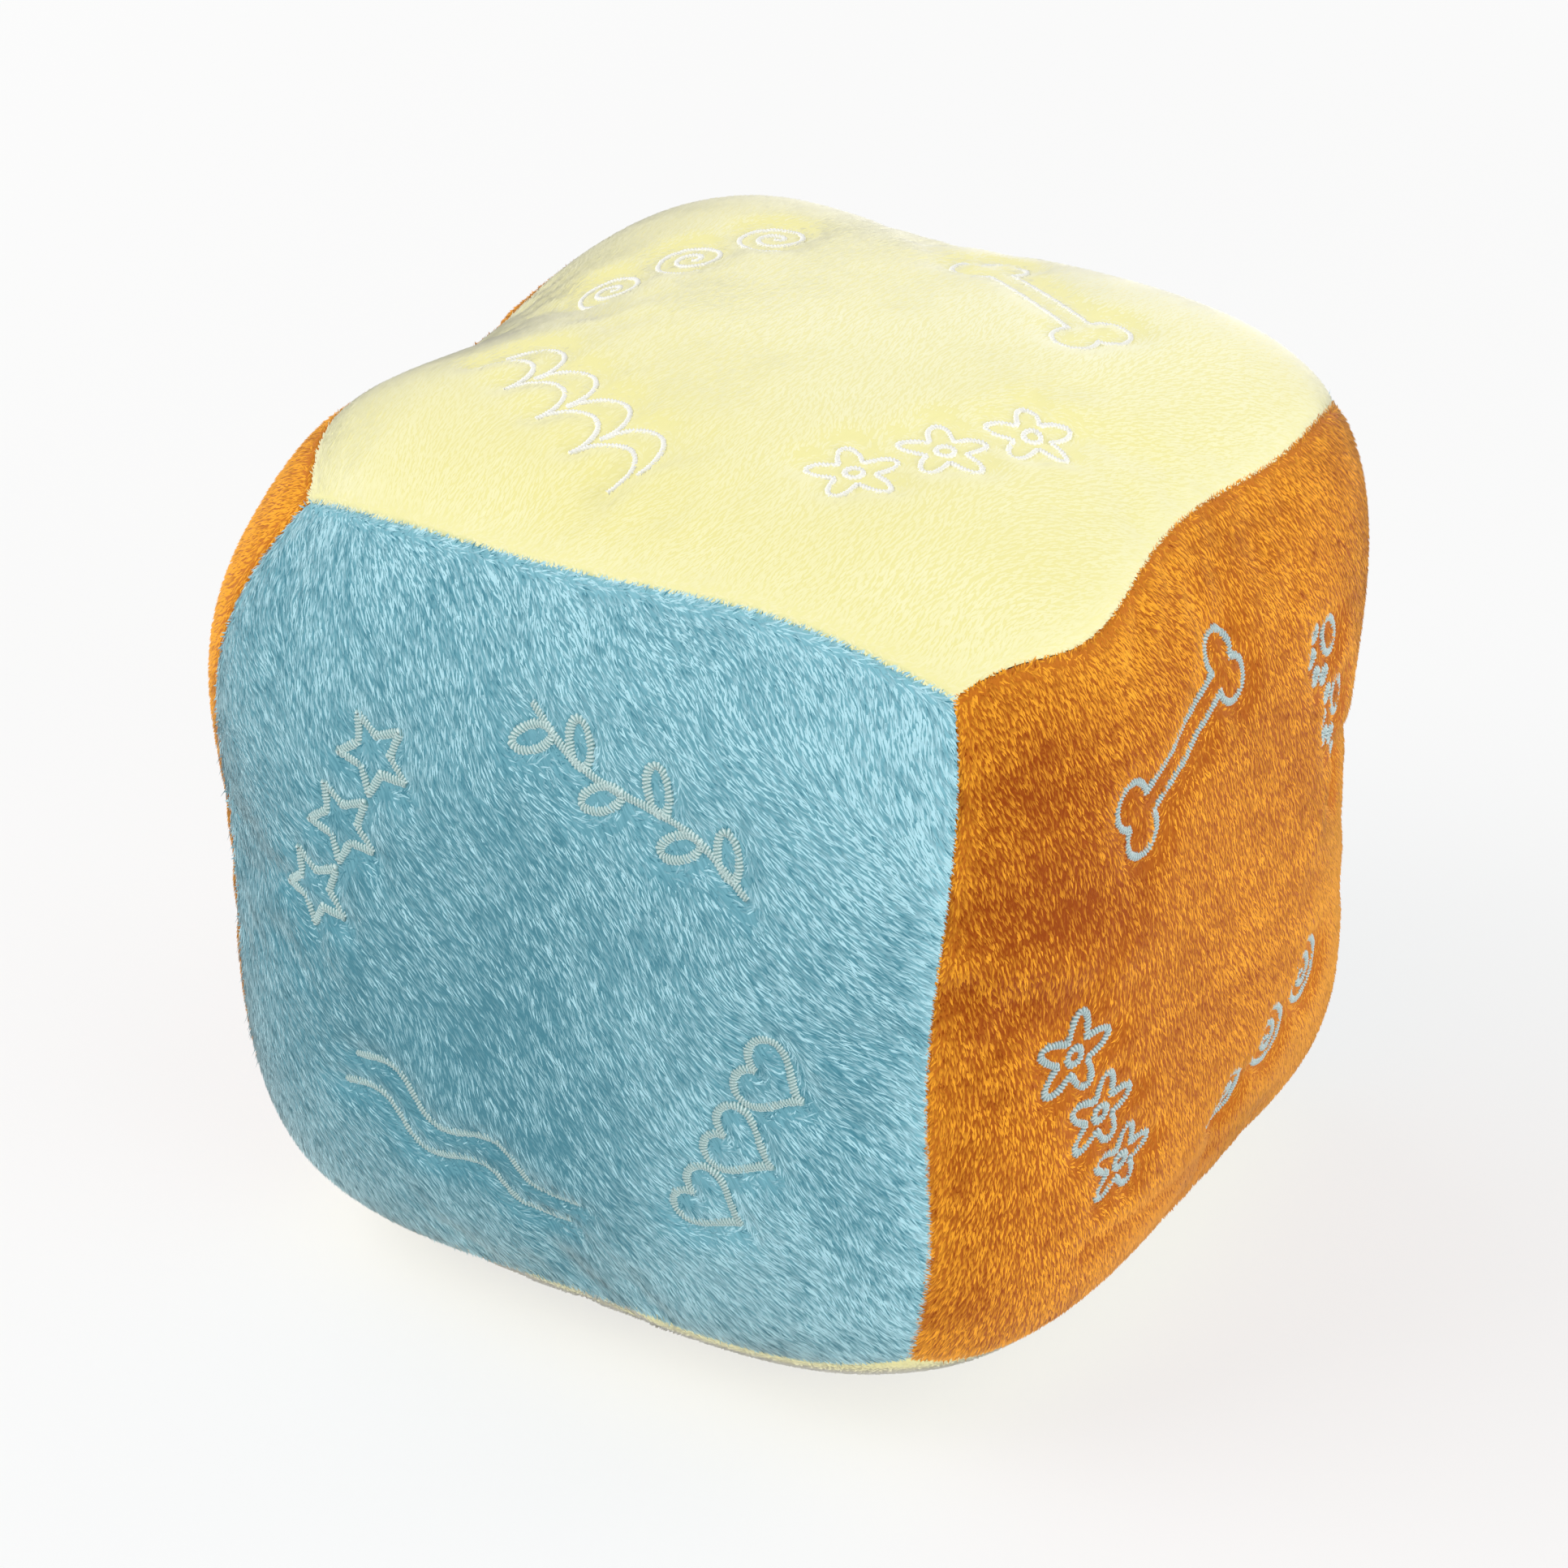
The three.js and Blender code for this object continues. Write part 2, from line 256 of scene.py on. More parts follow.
@dataclass
class ToyForm:
    """The stuffed body that the panels follow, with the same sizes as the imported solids."""

    width: float = 136.0
    depth: float = 136.0
    height: float = 136.0
    corner_draw: float = 16.0
    settle: float = 1.2
    wander: float = 10.0
    lump: float = 5.0
    reach: float = 20.0
    table_steps: int = 400
    slips: tuple[Slip, ...] = (
        Slip(Side.FRONT, -1, 1, 0.9, 0.1, 0.8),
        Slip(Side.FRONT, 0.5, 1, 0, 0.35, 0.9),
        Slip(Side.FRONT, 1, 1, 0.1, 0, 1),
        Slip(Side.FRONT, 1, 0, -0.65, 0, 1.3),
        Slip(Side.FRONT, 1, -1, -0.65, 0.5, 1.2),
        Slip(Side.FRONT, -0.9, -1, 0, 0.55, 0.9),
        Slip(Side.FRONT, 0.1, -1, 0, 0.9, 1.2),
        Slip(Side.RIGHT, 1, 1, 0, -0.3, 0.9),
        Slip(Side.RIGHT, -0.5, 1, 0, -0.8, 0.65),
        Slip(Side.RIGHT, 0.4, 1, 0, -0.35, 0.7),
        Slip(Side.RIGHT, 0, -1, 0, 0.8, 1.2),
    )
    lumps: tuple[Lump, ...] = (
        Lump(Side.LEFT, 0.8, 0.4, 0.7, 0.8),
        Lump(Side.LEFT, 0.9, -0.3, 0.35, 0.9),
        Lump(Side.FRONT, -1, 1, -0.3, 0.6),
        Lump(Side.FRONT, -1, -1, 0.3, 0.9),
        Lump(Side.FRONT, 1, -1, -0.4, 0.9),
        Lump(Side.TOP, -1, -0.1, -0.7, 0.7),
        Lump(Side.TOP, -0.8, 1, 0.6, 0.8),
        Lump(Side.TOP, 0.2, 1, 0.2, 0.7),
        Lump(Side.TOP, 0.9, 0.9, 0.2, 0.9),
        Lump(Side.RIGHT, 0.6, 0, -0.3, 1),
        Lump(Side.RIGHT, 1, -1, 0.6, 0.6),
    )

    def __post_init__(self) -> None:
        """Work out the superellipsoid's power and the cloth's length from a panel's middle to its seam."""
        self.half = np.array([self.width, self.depth, self.height]) / 2
        self.mean_half = float(self.half.mean())
        self.power = float(np.log(3) / -np.log(1 - self.corner_draw / self.mean_half))
        self.unit_table = np.linspace(-1, 1, 2 * self.table_steps + 1)
        line = self.ellipsoid(Side.FRONT.direction(self.unit_table, np.zeros_like(self.unit_table)))
        steps = np.linalg.norm(np.diff(line, axis=0), axis=1)
        length = np.concatenate([[0], np.cumsum(steps)])
        self.cloth_table = length - length[self.table_steps]
        self.cloth_half = float(length[self.table_steps])

    def units(self, cloth: Array) -> Array:
        """Turn distances along the cloth from a panel's middle, mm, into panel coordinates from -1 to 1."""
        return np.interp(cloth, self.cloth_table, self.unit_table)

    def ellipsoid(self, direction: Array) -> Array:
        """Find the superellipsoid |x/a|^n + |y/b|^n + |z/c|^n = 1 in each direction from its middle."""
        total = (np.abs(direction) ** self.power).sum(-1, keepdims=True)
        return direction * self.half / total ** (1 / self.power)

    def surface(self, direction: Array) -> tuple[Array, Array]:
        """Find the toy's surface: slipped directions on the lumpy superellipsoid, flat where it rests.

        Args:
            direction: Directions on the cube, (..., 3).

        Returns:
            Points in mm in the toy's frame, and the superellipsoid's normals there.
        """
        moved = direction.copy()
        for slip in self.slips:
            _, across, up = slip.side.axes
            centre = slip.side.direction(np.array(slip.u), np.array(slip.v))
            distance = np.linalg.norm(moved - centre, axis=-1) * self.mean_half
            share = bell(distance, slip.reach * self.reach) * self.wander / self.mean_half
            moved += np.multiply.outer(share, across * slip.across + up * slip.up)
        point = self.ellipsoid(moved)
        normal = unit(np.sign(point) * (np.abs(point) / self.half) ** (self.power - 1) / self.half)
        rise = np.zeros(point.shape[:-1])
        for lump in self.lumps:
            centre = self.ellipsoid(lump.side.direction(np.array(lump.u), np.array(lump.v)))
            distance = np.linalg.norm(point - centre, axis=-1)
            rise += lump.rise * self.lump * bell(distance, lump.reach * self.reach)
        point = point + normal * rise[..., None]
        point[..., 2] = np.maximum(point[..., 2] + self.half[2] - self.settle, 0)
        return point, normal


class Motif(Enum):
    """The plain figures that the satin stitch draws, with how many stand in a row."""

    WAVES = ("waves", 1)
    SPRIG = ("sprig", 1)
    SCALLOPS = ("scallops", 1)
    BONE = ("bone", 1)
    HEARTS = ("hearts", 3)
    STARS = ("stars", 3)
    PAWS = ("paws", 3)
    FLOWERS = ("flowers", 3)
    SPIRALS = ("spirals", 3)

    def figure(self, ratio: float) -> list[Array]:
        """Draw one figure of the row from its formula, one unit tall about its middle.

        Args:
            ratio: The figure's length over its height, for the figures that fill the row.

        Returns:
            Lines of points (n, 2); a closed line ends where it starts.
        """
        t = np.linspace(0, 2 * np.pi, 121)
        ring = np.stack([np.cos(t), np.sin(t)], -1)
        x = np.linspace(-0.5, 0.5, 241) * ratio
        if self is Motif.WAVES:
            return [np.stack([x, shift + 0.2 * np.sin(x * 4)], -1) for shift in (-0.26, 0.26)]
        if self is Motif.SPRIG:
            lines = [np.stack([x, 0.12 * np.sin(x * 2.2)], -1)]
            for k, root in enumerate(np.linspace(-0.42, 0.38, 6) * ratio):
                turn = np.radians(50 if k % 2 else -50)
                leaf = 0.27 * np.stack([1 - np.cos(t), 0.5 * np.sin(t)], -1)
                spin = np.array([[np.cos(turn), np.sin(turn)], [-np.sin(turn), np.cos(turn)]])
                lines.append(leaf @ spin + [root, 0.12 * np.sin(root * 2.2)])
            return lines
        if self is Motif.SCALLOPS:
            arch = 0.55 * np.sqrt(np.maximum(0, 1 - (2 * np.mod(x / ratio * 4, 1) - 1) ** 2))
            return [np.stack([x, arch + shift], -1) for shift in (-0.5, -0.1)]
        if self is Motif.BONE:
            knob, aside, shaft = 0.27, 0.23, 0.15
            first, last = -np.arcsin(aside / knob), np.pi + np.arcsin((aside - shaft) / knob)
            arc = np.linspace(first, last, 61)
            corner = np.stack([knob * np.cos(arc) + ratio * 0.42 - knob, knob * np.sin(arc) + aside], -1)
            other = corner[::-1] * [-1, 1]
            return [np.concatenate([corner, other, -corner, -other, corner[:1]])]
        if self is Motif.HEARTS:
            y = 13 * np.cos(t) - 5 * np.cos(2 * t) - 2 * np.cos(3 * t) - np.cos(4 * t)
            return [np.stack([16 * np.sin(t) ** 3, y + 2.5], -1) / 32]
        if self is Motif.STARS:
            tip = np.arange(11) * np.pi / 5 + np.pi / 2
            radius = np.where(np.arange(11) % 2, 0.24, 0.52)
            return [np.stack([radius * np.cos(tip), radius * np.sin(tip)], -1)]
        if self is Motif.PAWS:
            toes = np.radians([155, 112, 68, 25])
            lines = [ring * [0.25, 0.19] + [0, -0.22]]
            return lines + [ring * [0.07, 0.1] + [0.42 * np.cos(a), 0.42 * np.sin(a) - 0.08] for a in toes]
        if self is Motif.FLOWERS:
            return [ring * (0.38 + 0.14 * np.cos(5 * t))[:, None], ring * 0.1]
        turn = np.linspace(0.8, 2.2 * 2 * np.pi, 181)
        return [np.stack([np.cos(turn), np.sin(turn)], -1) * (0.5 * turn / turn[-1])[:, None]]

    def strokes(self, length: float, height: float) -> list[Array]:
        """Set the figures in a row.

        Args:
            length: The row's length, mm.
            height: Its height, mm.

        Returns:
            Lines of points (n, 2) in mm about the row's middle.
        """
        count = self.value[1]
        places = (np.arange(count) + 0.5) / count - 0.5
        figure = self.figure(length / height)
        return [line * height + [place * length, 0] for place in places for line in figure]


@dataclass(frozen=True)
class MotifPlace:
    """Where a motif is sewn on its panel: cloth coordinates in mm, its turn, its length and its height."""

    motif: Motif
    x: float
    y: float
    turn_deg: float
    length: float = 40.0
    height: float = 12.0

    def lines(self, spacing: float) -> list[Array]:
        """Lay the motif's lines on the cloth with points at an even spacing.

        Args:
            spacing: Distance between points, mm.

        Returns:
            Lines of points (n, 2) in the panel's cloth coordinates.
        """
        c, s = np.cos(np.radians(self.turn_deg)), np.sin(np.radians(self.turn_deg))
        placed = []
        for line in self.motif.strokes(self.length, self.height):
            run = np.concatenate([[0], np.cumsum(np.linalg.norm(np.diff(line, axis=0), axis=1))])
            even = np.linspace(0, run[-1], max(8, int(run[-1] / spacing) + 1))
            x, y = (np.interp(even, run, line[:, k]) for k in (0, 1))
            placed.append(np.stack([self.x + c * x - s * y, self.y + s * x + c * y], -1))
        return placed


@dataclass(frozen=True)
class PileCut:
    """How a plush's pile was cut and brushed. Sizes in mm, the nap's direction in degrees from across.

    The knit holds the tufts in bundles, which stand in rows across the nap: bundle is their spacing along
    and across the nap, loose how far they stray from it, and pull how far a bundle's tips draw together.
    Streak is the width and length of a light or dark streak. The shares say how much streaks, rows, patches
    and single tufts differ in shade, fade how much darker a tuft's root is painted than its tip (painted
    shade deep in the pile, painted light on the tips), and parting how much darker the pile is painted where
    it parts beside the stitches (painted shade in their dent). Relief and round are how far a tuft's own
    slope and its own roundness show in its shading.
    """

    length: float
    rise: float
    width: float
    nap_deg: float
    swirl_deg: float
    bundle: tuple[float, float]
    loose: float
    pull: float
    streak: tuple[float, float]
    streak_share: float
    row_share: float
    patch_share: float
    grain_share: float
    fade: float
    stitch_shade: float
    relief: float
    round: float

    @property
    def ground_streak(self) -> float:
        """How much the ground's streaks differ in shade, from dark to light."""
        return 3 * self.streak_share

    def turn(self, x: Array, y: Array) -> tuple[Array, Array]:
        """Turn places on the cloth into distances along the nap and across it, mm."""
        nap = np.radians(self.nap_deg)
        return x * np.cos(nap) + y * np.sin(nap), y * np.cos(nap) - x * np.sin(nap)

    def turn_back(self, along: Array, across: Array) -> tuple[Array, Array]:
        """Turn distances along the nap and across it into places on the cloth, mm."""
        nap = np.radians(self.nap_deg)
        return along * np.cos(nap) - across * np.sin(nap), along * np.sin(nap) + across * np.cos(nap)


@dataclass(frozen=True)
class PlushFinish:
    """Short-pile polyester plush: a knitted back and a matt brushed pile, with painted shade between its
    tufts: darker roots and ground, lighter tips.
    """

    name: str
    slot: str
    root: str
    tip: str
    back: str
    sheen: float

    def surface(self, tree: bpy.types.NodeTree, share: bpy.types.NodeSocket, low: str, high: str
                ) -> dict[str, Any]:
        """Give the inputs of a plush surface between two colours.

        Args:
            tree: The material's node tree.
            share: Where it lies between the colours, 0 to 1.
            low: The first colour.
            high: The second.

        Returns:
            Inputs for the Principled shader.
        """
        colour = add_node(tree, "Mix", {0: share, 6: linear(low), 7: linear(high)}, data_type="RGBA")
        return {"Base Color": colour.outputs[2], "Roughness": 0.85, "Specular IOR Level": 0.1,
                "Sheen Weight": self.sheen, "Sheen Roughness": 0.4, "Sheen Tint": linear("#fffdf6")}

    def pile(self) -> bpy.types.Material:
        """Make the pile: each tuft goes from its root's colour to its tip's, with painted shade at the root
        and painted light at the tip, lighter or darker with its bundle and the panel's patches.

        Returns:
            The material.
        """
        # To the eye: fine flecks of light tips over a deeper ground, with that light and depth painted, and a
        # pale bloom where it turns away.
        material, tree = new_material(f"{self.name} polyester pile, brushed")
        shade = add_node(tree, "Attribute", attribute_name="shade")
        inputs = self.surface(tree, shade.outputs["Fac"], self.root, self.tip)
        surface = add_node(tree, "BsdfPrincipled", inputs)
        add_node(tree, "OutputMaterial", {"Surface": surface.outputs[0]})
        return material

    def backing(self, cut: PileCut) -> bpy.types.Material:
        """Make the knit's face, grown with short fibres: noise stretched along the nap.

        Args:
            cut: The pile's cut, which gives the nap and the width and length of its streaks.

        Returns:
            The material.
        """
        # To the eye: the ground that shows between the tufts, streaked like the pile over it.
        material, tree = new_material(f"{self.name} polyester knit")
        cloth = add_node(tree, "Attribute", attribute_name="cloth")
        fine, long = cut.streak
        nap = (0.0, 0.0, np.radians(cut.nap_deg))
        along = add_node(tree, "Mapping", {"Vector": cloth.outputs["Vector"], "Rotation": nap,
                                           "Scale": (long, fine, 1.0)}, vector_type="TEXTURE")
        fibres = add_node(tree, "TexNoise", {"Vector": along.outputs[0], "Scale": 1.0, "Detail": 2.0})
        # The shade attribute carries the ground's painted shade between the tufts.
        shade = add_node(tree, "Attribute", attribute_name="shade")
        share = add_node(tree, "Math", {0: fibres.outputs["Fac"], 1: cut.ground_streak,
                                        2: shade.outputs["Fac"]}, operation="MULTIPLY_ADD")
        bump = add_node(tree, "Bump", {"Height": fibres.outputs["Fac"], "Strength": 0.3, "Distance": 0.0003})
        inputs = self.surface(tree, share.outputs[0], self.root, self.back)
        surface = add_node(tree, "BsdfPrincipled", inputs | {"Normal": bump.outputs[0]})
        add_node(tree, "OutputMaterial", {"Surface": surface.outputs[0]})
        return material


@dataclass(frozen=True)
class ThreadFinish:
    """Trilobal polyester embroidery thread or spun sewing thread: a soft gloss along smooth strands."""

    name: str
    colour: str
    # The groove colour paints shade between the strands. The colour, on their backs, is lighter: a painted
    # highlight.
    groove: str
    roughness: float

    def material(self) -> bpy.types.Material:
        """Make the thread: a painted highlight on the back of each strand, and painted shade in the grooves
        between strands.

        Returns:
            The material.
        """
        # To the eye: a silky rib for every stitch.
        material, tree = new_material(self.name)
        ridge = add_node(tree, "Attribute", attribute_name="ridge")
        colour = add_node(tree, "Mix", {0: ridge.outputs["Fac"], 6: linear(self.groove),
                                        7: linear(self.colour)}, data_type="RGBA")
        surface = add_node(tree, "BsdfPrincipled", {
            "Base Color": colour.outputs[2], "Roughness": self.roughness, "Specular IOR Level": 0.5,
            "Sheen Weight": 0.2})
        add_node(tree, "OutputMaterial", {"Surface": surface.outputs[0]})
        return material


@dataclass(frozen=True)
class FibreFinish:
    """Loose hollow polyester fibre: white, matt and wispy, in clumps of a size in mm."""

    colour: str = "#f4f3ee"
    shade: str = "#d9d7cf"
    clump: float = 2.4

    def material(self) -> bpy.types.Material:
        """Make the fibre: noise in clumps, drawn out into finer strands.

        Returns:
            The material.
        """
        # To the eye: off-white wadding, seen only when a seam is opened.
        material, tree = new_material("hollow polyester fibre, carded")
        place = add_node(tree, "TexCoord")
        strands = add_node(tree, "TexNoise", {"Vector": place.outputs["Object"], "Detail": 5.0,
                                              "Scale": 1 / (self.clump * MM), "Distortion": 3.0})
        colour = add_node(tree, "Mix", {0: strands.outputs["Fac"], 6: linear(self.shade),
                                        7: linear(self.colour)}, data_type="RGBA")
        bump = add_node(tree, "Bump", {"Height": strands.outputs["Fac"], "Strength": 0.6, "Distance": 0.001})
        surface = add_node(tree, "BsdfPrincipled", {"Base Color": colour.outputs[2], "Roughness": 1.0,
                                                    "Normal": bump.outputs[0]})
        add_node(tree, "OutputMaterial", {"Surface": surface.outputs[0]})
        return material


@dataclass(frozen=True)
class Fold:
    """A soft ridge or crease in the plush along a line on the cloth. Sizes in mm."""

    start: tuple[float, float]
    end: tuple[float, float]
    rise: float
    reach: float

    def height(self, x: Array, y: Array) -> Array:
        """Give the fold's height: a bell over the distance from its line, which is half as high at its end.

        Args:
            x: Cloth coordinate across, mm.
            y: Cloth coordinate up, mm.

        Returns:
            Heights in mm.
        """
        run = np.subtract(self.end, self.start)
        share = np.clip(((x - self.start[0]) * run[0] + (y - self.start[1]) * run[1]) / (run @ run), 0, 1)
        distance = np.hypot(x - self.start[0] - share * run[0], y - self.start[1] - share * run[1])
        return self.rise * (1 - share / 2) * bell(distance, self.reach)


@dataclass(frozen=True)
class PaintedLightPatch:
    """A patch of painted light or painted shade on the pile, where it may also lie flat and even. Sizes in
    mm.
    """

    x: float
    y: float
    tone: float
    reach: float
    calm: float = 0.0

    def share(self, x: Array, y: Array) -> Array:
        """Tell how much of the patch there is at a place: a bell over the distance from its middle."""
        return bell(np.hypot(x - self.x, y - self.y), self.reach)


@dataclass(frozen=True)
class Wear:
    """What handling has left on a panel, its folds and flattened pile, and the light and shade painted on it.
    A fold paints shade for each mm of its height: darker in a crease, lighter on a ridge.
    """

    folds: tuple[Fold, ...] = ()
    # Patches of painted light and shade. Some of them also lay the pile flat.
    strokes: tuple[PaintedLightPatch, ...] = ()
    fold_tone: float = 0.12
    least_rough: float = 0.3

    def height(self, x: Array, y: Array) -> Array:
        """Add up the heights of the folds, mm."""
        return sum((fold.height(x, y) for fold in self.folds), np.zeros(x.shape))

    def tone(self, x: Array, y: Array) -> Array:
        """Add up the painted light and shade of the patches, and of the folds: painted shade in their
        creases, painted light on their ridges.
        """
        tones = (stroke.tone * stroke.share(x, y) for stroke in self.strokes)
        return sum(tones, self.fold_tone * self.height(x, y))

    def roughness(self, x: Array, y: Array) -> Array:
        """Tell how much of the pile's own light and dark the strokes that lay it flat have left, up to 1."""
        calm = sum((stroke.calm * stroke.share(x, y) for stroke in self.strokes), np.zeros(x.shape))
        return np.maximum(1 - calm, self.least_rough)


class CubeNet:
    """Six square grids of directions, one on each panel, welded along the seams."""

    def __init__(self, form: ToyForm, steps: int) -> None:
        """Lay the grids at even distances along the cloth and weld the points that two or three panels share.

        Args:
            form: The body that the panels follow.
            steps: How many steps a panel has across.
        """
        count = steps + 1
        self.stations = np.linspace(-form.cloth_half, form.cloth_half, count)
        units = form.units(self.stations)
        u, v = np.meshgrid(units, units)
        directions = np.stack([side.direction(u, v) for side in Side]).reshape(-1, 3)
        _, first, weld = np.unique(np.round(directions, 6), axis=0, return_index=True, return_inverse=True)
        self.weld = weld.reshape(len(Side), count, count)
        self.directions = directions[first]
        blocks = [grid_faces(count, count) + k * count * count for k in range(len(Side))]
        self.faces = weld.reshape(-1)[np.concatenate(blocks)]
        x, y = np.meshgrid(self.stations, self.stations)
        spare = form.cloth_half - np.maximum(np.abs(x), np.abs(y))
        self.from_seam = np.tile(spare.reshape(-1), len(Side))[first]


@dataclass
class Swell:
    """The cloth simulation: pressure swells six panels that are pinned along their seams. Sizes in mm."""

    form: ToyForm
    steps: int = 32
    start_in: float = 0.4
    shoulder: float = 15.0
    spare_cloth: float = 0.006
    cap: float = 2.0
    pressure: float = 4.0
    frames: int = 20

    def __post_init__(self) -> None:
        self.net = CubeNet(self.form, self.steps)
        self.net_moves = self.simulate()
        self.moves = {side: self.net_moves[self.net.weld[k]] for k, side in enumerate(Side)}

    def simulate(self) -> Array:
        """Blow the panels up from a little inside the form, with gravity off, and cap how far they go.

        Returns:
            The move of each welded point from the form, mm.
        """
        goal, normal = self.form.surface(self.net.directions)
        depth = self.start_in * np.minimum(self.net.from_seam / self.shoulder, 1)
        start = goal - normal * depth[:, None]
        cloth = mesh_object("swelling_cloth", start, [self.net.faces])
        seams = cloth.vertex_groups.new(name="seams")
        seams.add(np.flatnonzero(self.net.from_seam < 0.01).tolist(), 1.0, "REPLACE")
        modifier = cloth.modifiers.new("swell", "CLOTH")
        settings = modifier.settings
        settings.vertex_group_mass = "seams"
        settings.use_pressure = True
        settings.uniform_pressure_force = self.pressure
        settings.shrink_min = -self.spare_cloth
        settings.effector_weights.gravity = 0
        modifier.point_cache.frame_start, modifier.point_cache.frame_end = 1, self.frames
        for number in range(1, self.frames + 1):
            bpy.context.scene.frame_set(number)
        swollen = cloth.evaluated_get(bpy.context.evaluated_depsgraph_get()).to_mesh()
        points = np.empty(len(start) * 3, np.float32)
        swollen.vertices.foreach_get("co", points)
        move = points.reshape(-1, 3) / MM - goal
        bpy.data.objects.remove(cloth)
        bpy.context.scene.frame_set(1)
        size = np.linalg.norm(move, axis=1, keepdims=True)
        log.info("swell moves: mean %.2f mm, most %.2f mm", size.mean(), size.max())
        return move * np.minimum(1, self.cap / np.maximum(size, 1e-6))

    def between(self, stations: Array) -> Array:
        """Give the weights that read the net's lines at other stations, by a Catmull-Rom spline.

        Args:
            stations: Cloth coordinates, mm.

        Returns:
            Weights, (stations, net lines).
        """
        place = (stations / self.form.cloth_half + 1) / 2 * self.steps
        k = np.clip(np.floor(place).astype(int), 0, self.steps - 1)
        f = place - k
        parts = [(-f + 2 * f ** 2 - f ** 3) / 2, (2 - 5 * f ** 2 + 3 * f ** 3) / 2,
                 (f + 4 * f ** 2 - 3 * f ** 3) / 2, (f ** 3 - f ** 2) / 2]
        weights = np.zeros((len(stations), self.steps + 1))
        for step, part in enumerate(parts):
            np.add.at(weights, (np.arange(len(stations)), np.clip(k + step - 1, 0, self.steps)), part)
        return weights

    def move(self, side: Side, stations: Array) -> Array:
        """Give the panel's moves on a finer grid.

        Args:
            side: The panel.
            stations: Cloth coordinates of the grid's lines, both ways, mm.

        Returns:
            Moves in mm, (rows, columns, 3).
        """
        weights = self.between(stations)
        return np.einsum("ja,abk,ib->jik", weights, self.moves[side], weights)


@dataclass(frozen=True)
class Plush:
    """A plush as it is bought, with the thread that is sewn on it and the width of its stitches in mm."""

    finish: PlushFinish
    cut: PileCut
    stitch: ThreadFinish
    stitch_width: float


@dataclass(frozen=True)
class PileHabit:
    """How the tufts of every panel stand, whatever their cut. Sizes in mm, angles in radians, or shares."""

    # How single tufts differ from their cut: the least and the most, and how far they stray from the nap.
    lengths: tuple[float, float] = (0.75, 1.15)
    rises: tuple[float, float] = (0.65, 1.15)
    widths: tuple[float, float] = (0.7, 1.2)
    astray: float = 0.12
    slant: float = 1.1
    least_lay: float = 0.2
    # How wide the nap's swirls and the slow patches are, the larger first, and how rows lie in the pile.
    swirls: tuple[float, float] = (17.0, 6.0)
    patches: tuple[float, float] = (16.0, 7.0)
    bend: float = 2.0
    row_pitch: float = 1.75
    row_stretch: float = 4.0
    bundle_tone: float = 0.3
    # Towards seams and stitches the tufts splay.
    splay: float = 2.0
    splay_most: float = 3.5
    # At the seams they stand closer and upright, fill them and hang over a little.
    crowd: float = 0.06
    seam_clear: float = 0.1
    seam_fill: float = 0.9
    upright: float = 1.5
    overhang: tuple[float, float] = (0.1, 0.45)
    # At the stitches they come out on the far side, lie low, are cut short and hang over a little.
    push_out: tuple[float, float] = (-0.4, 1.2)
    low: float = 0.4
    low_reach: float = 2.0
    trims: tuple[float, ...] = (0.35, 0.65, 1.0)
    overlap: tuple[float, float] = (-0.1, 0.5)
    # How far the painted shade beside the stitches reaches.
    parting_reach: float = 0.45
    # A blade's root is sunk into the skin, and its belly is raised over the line from root to tip.
    root_depth: float = 0.2
    belly: float = 0.45
    belly_rise: float = 0.05


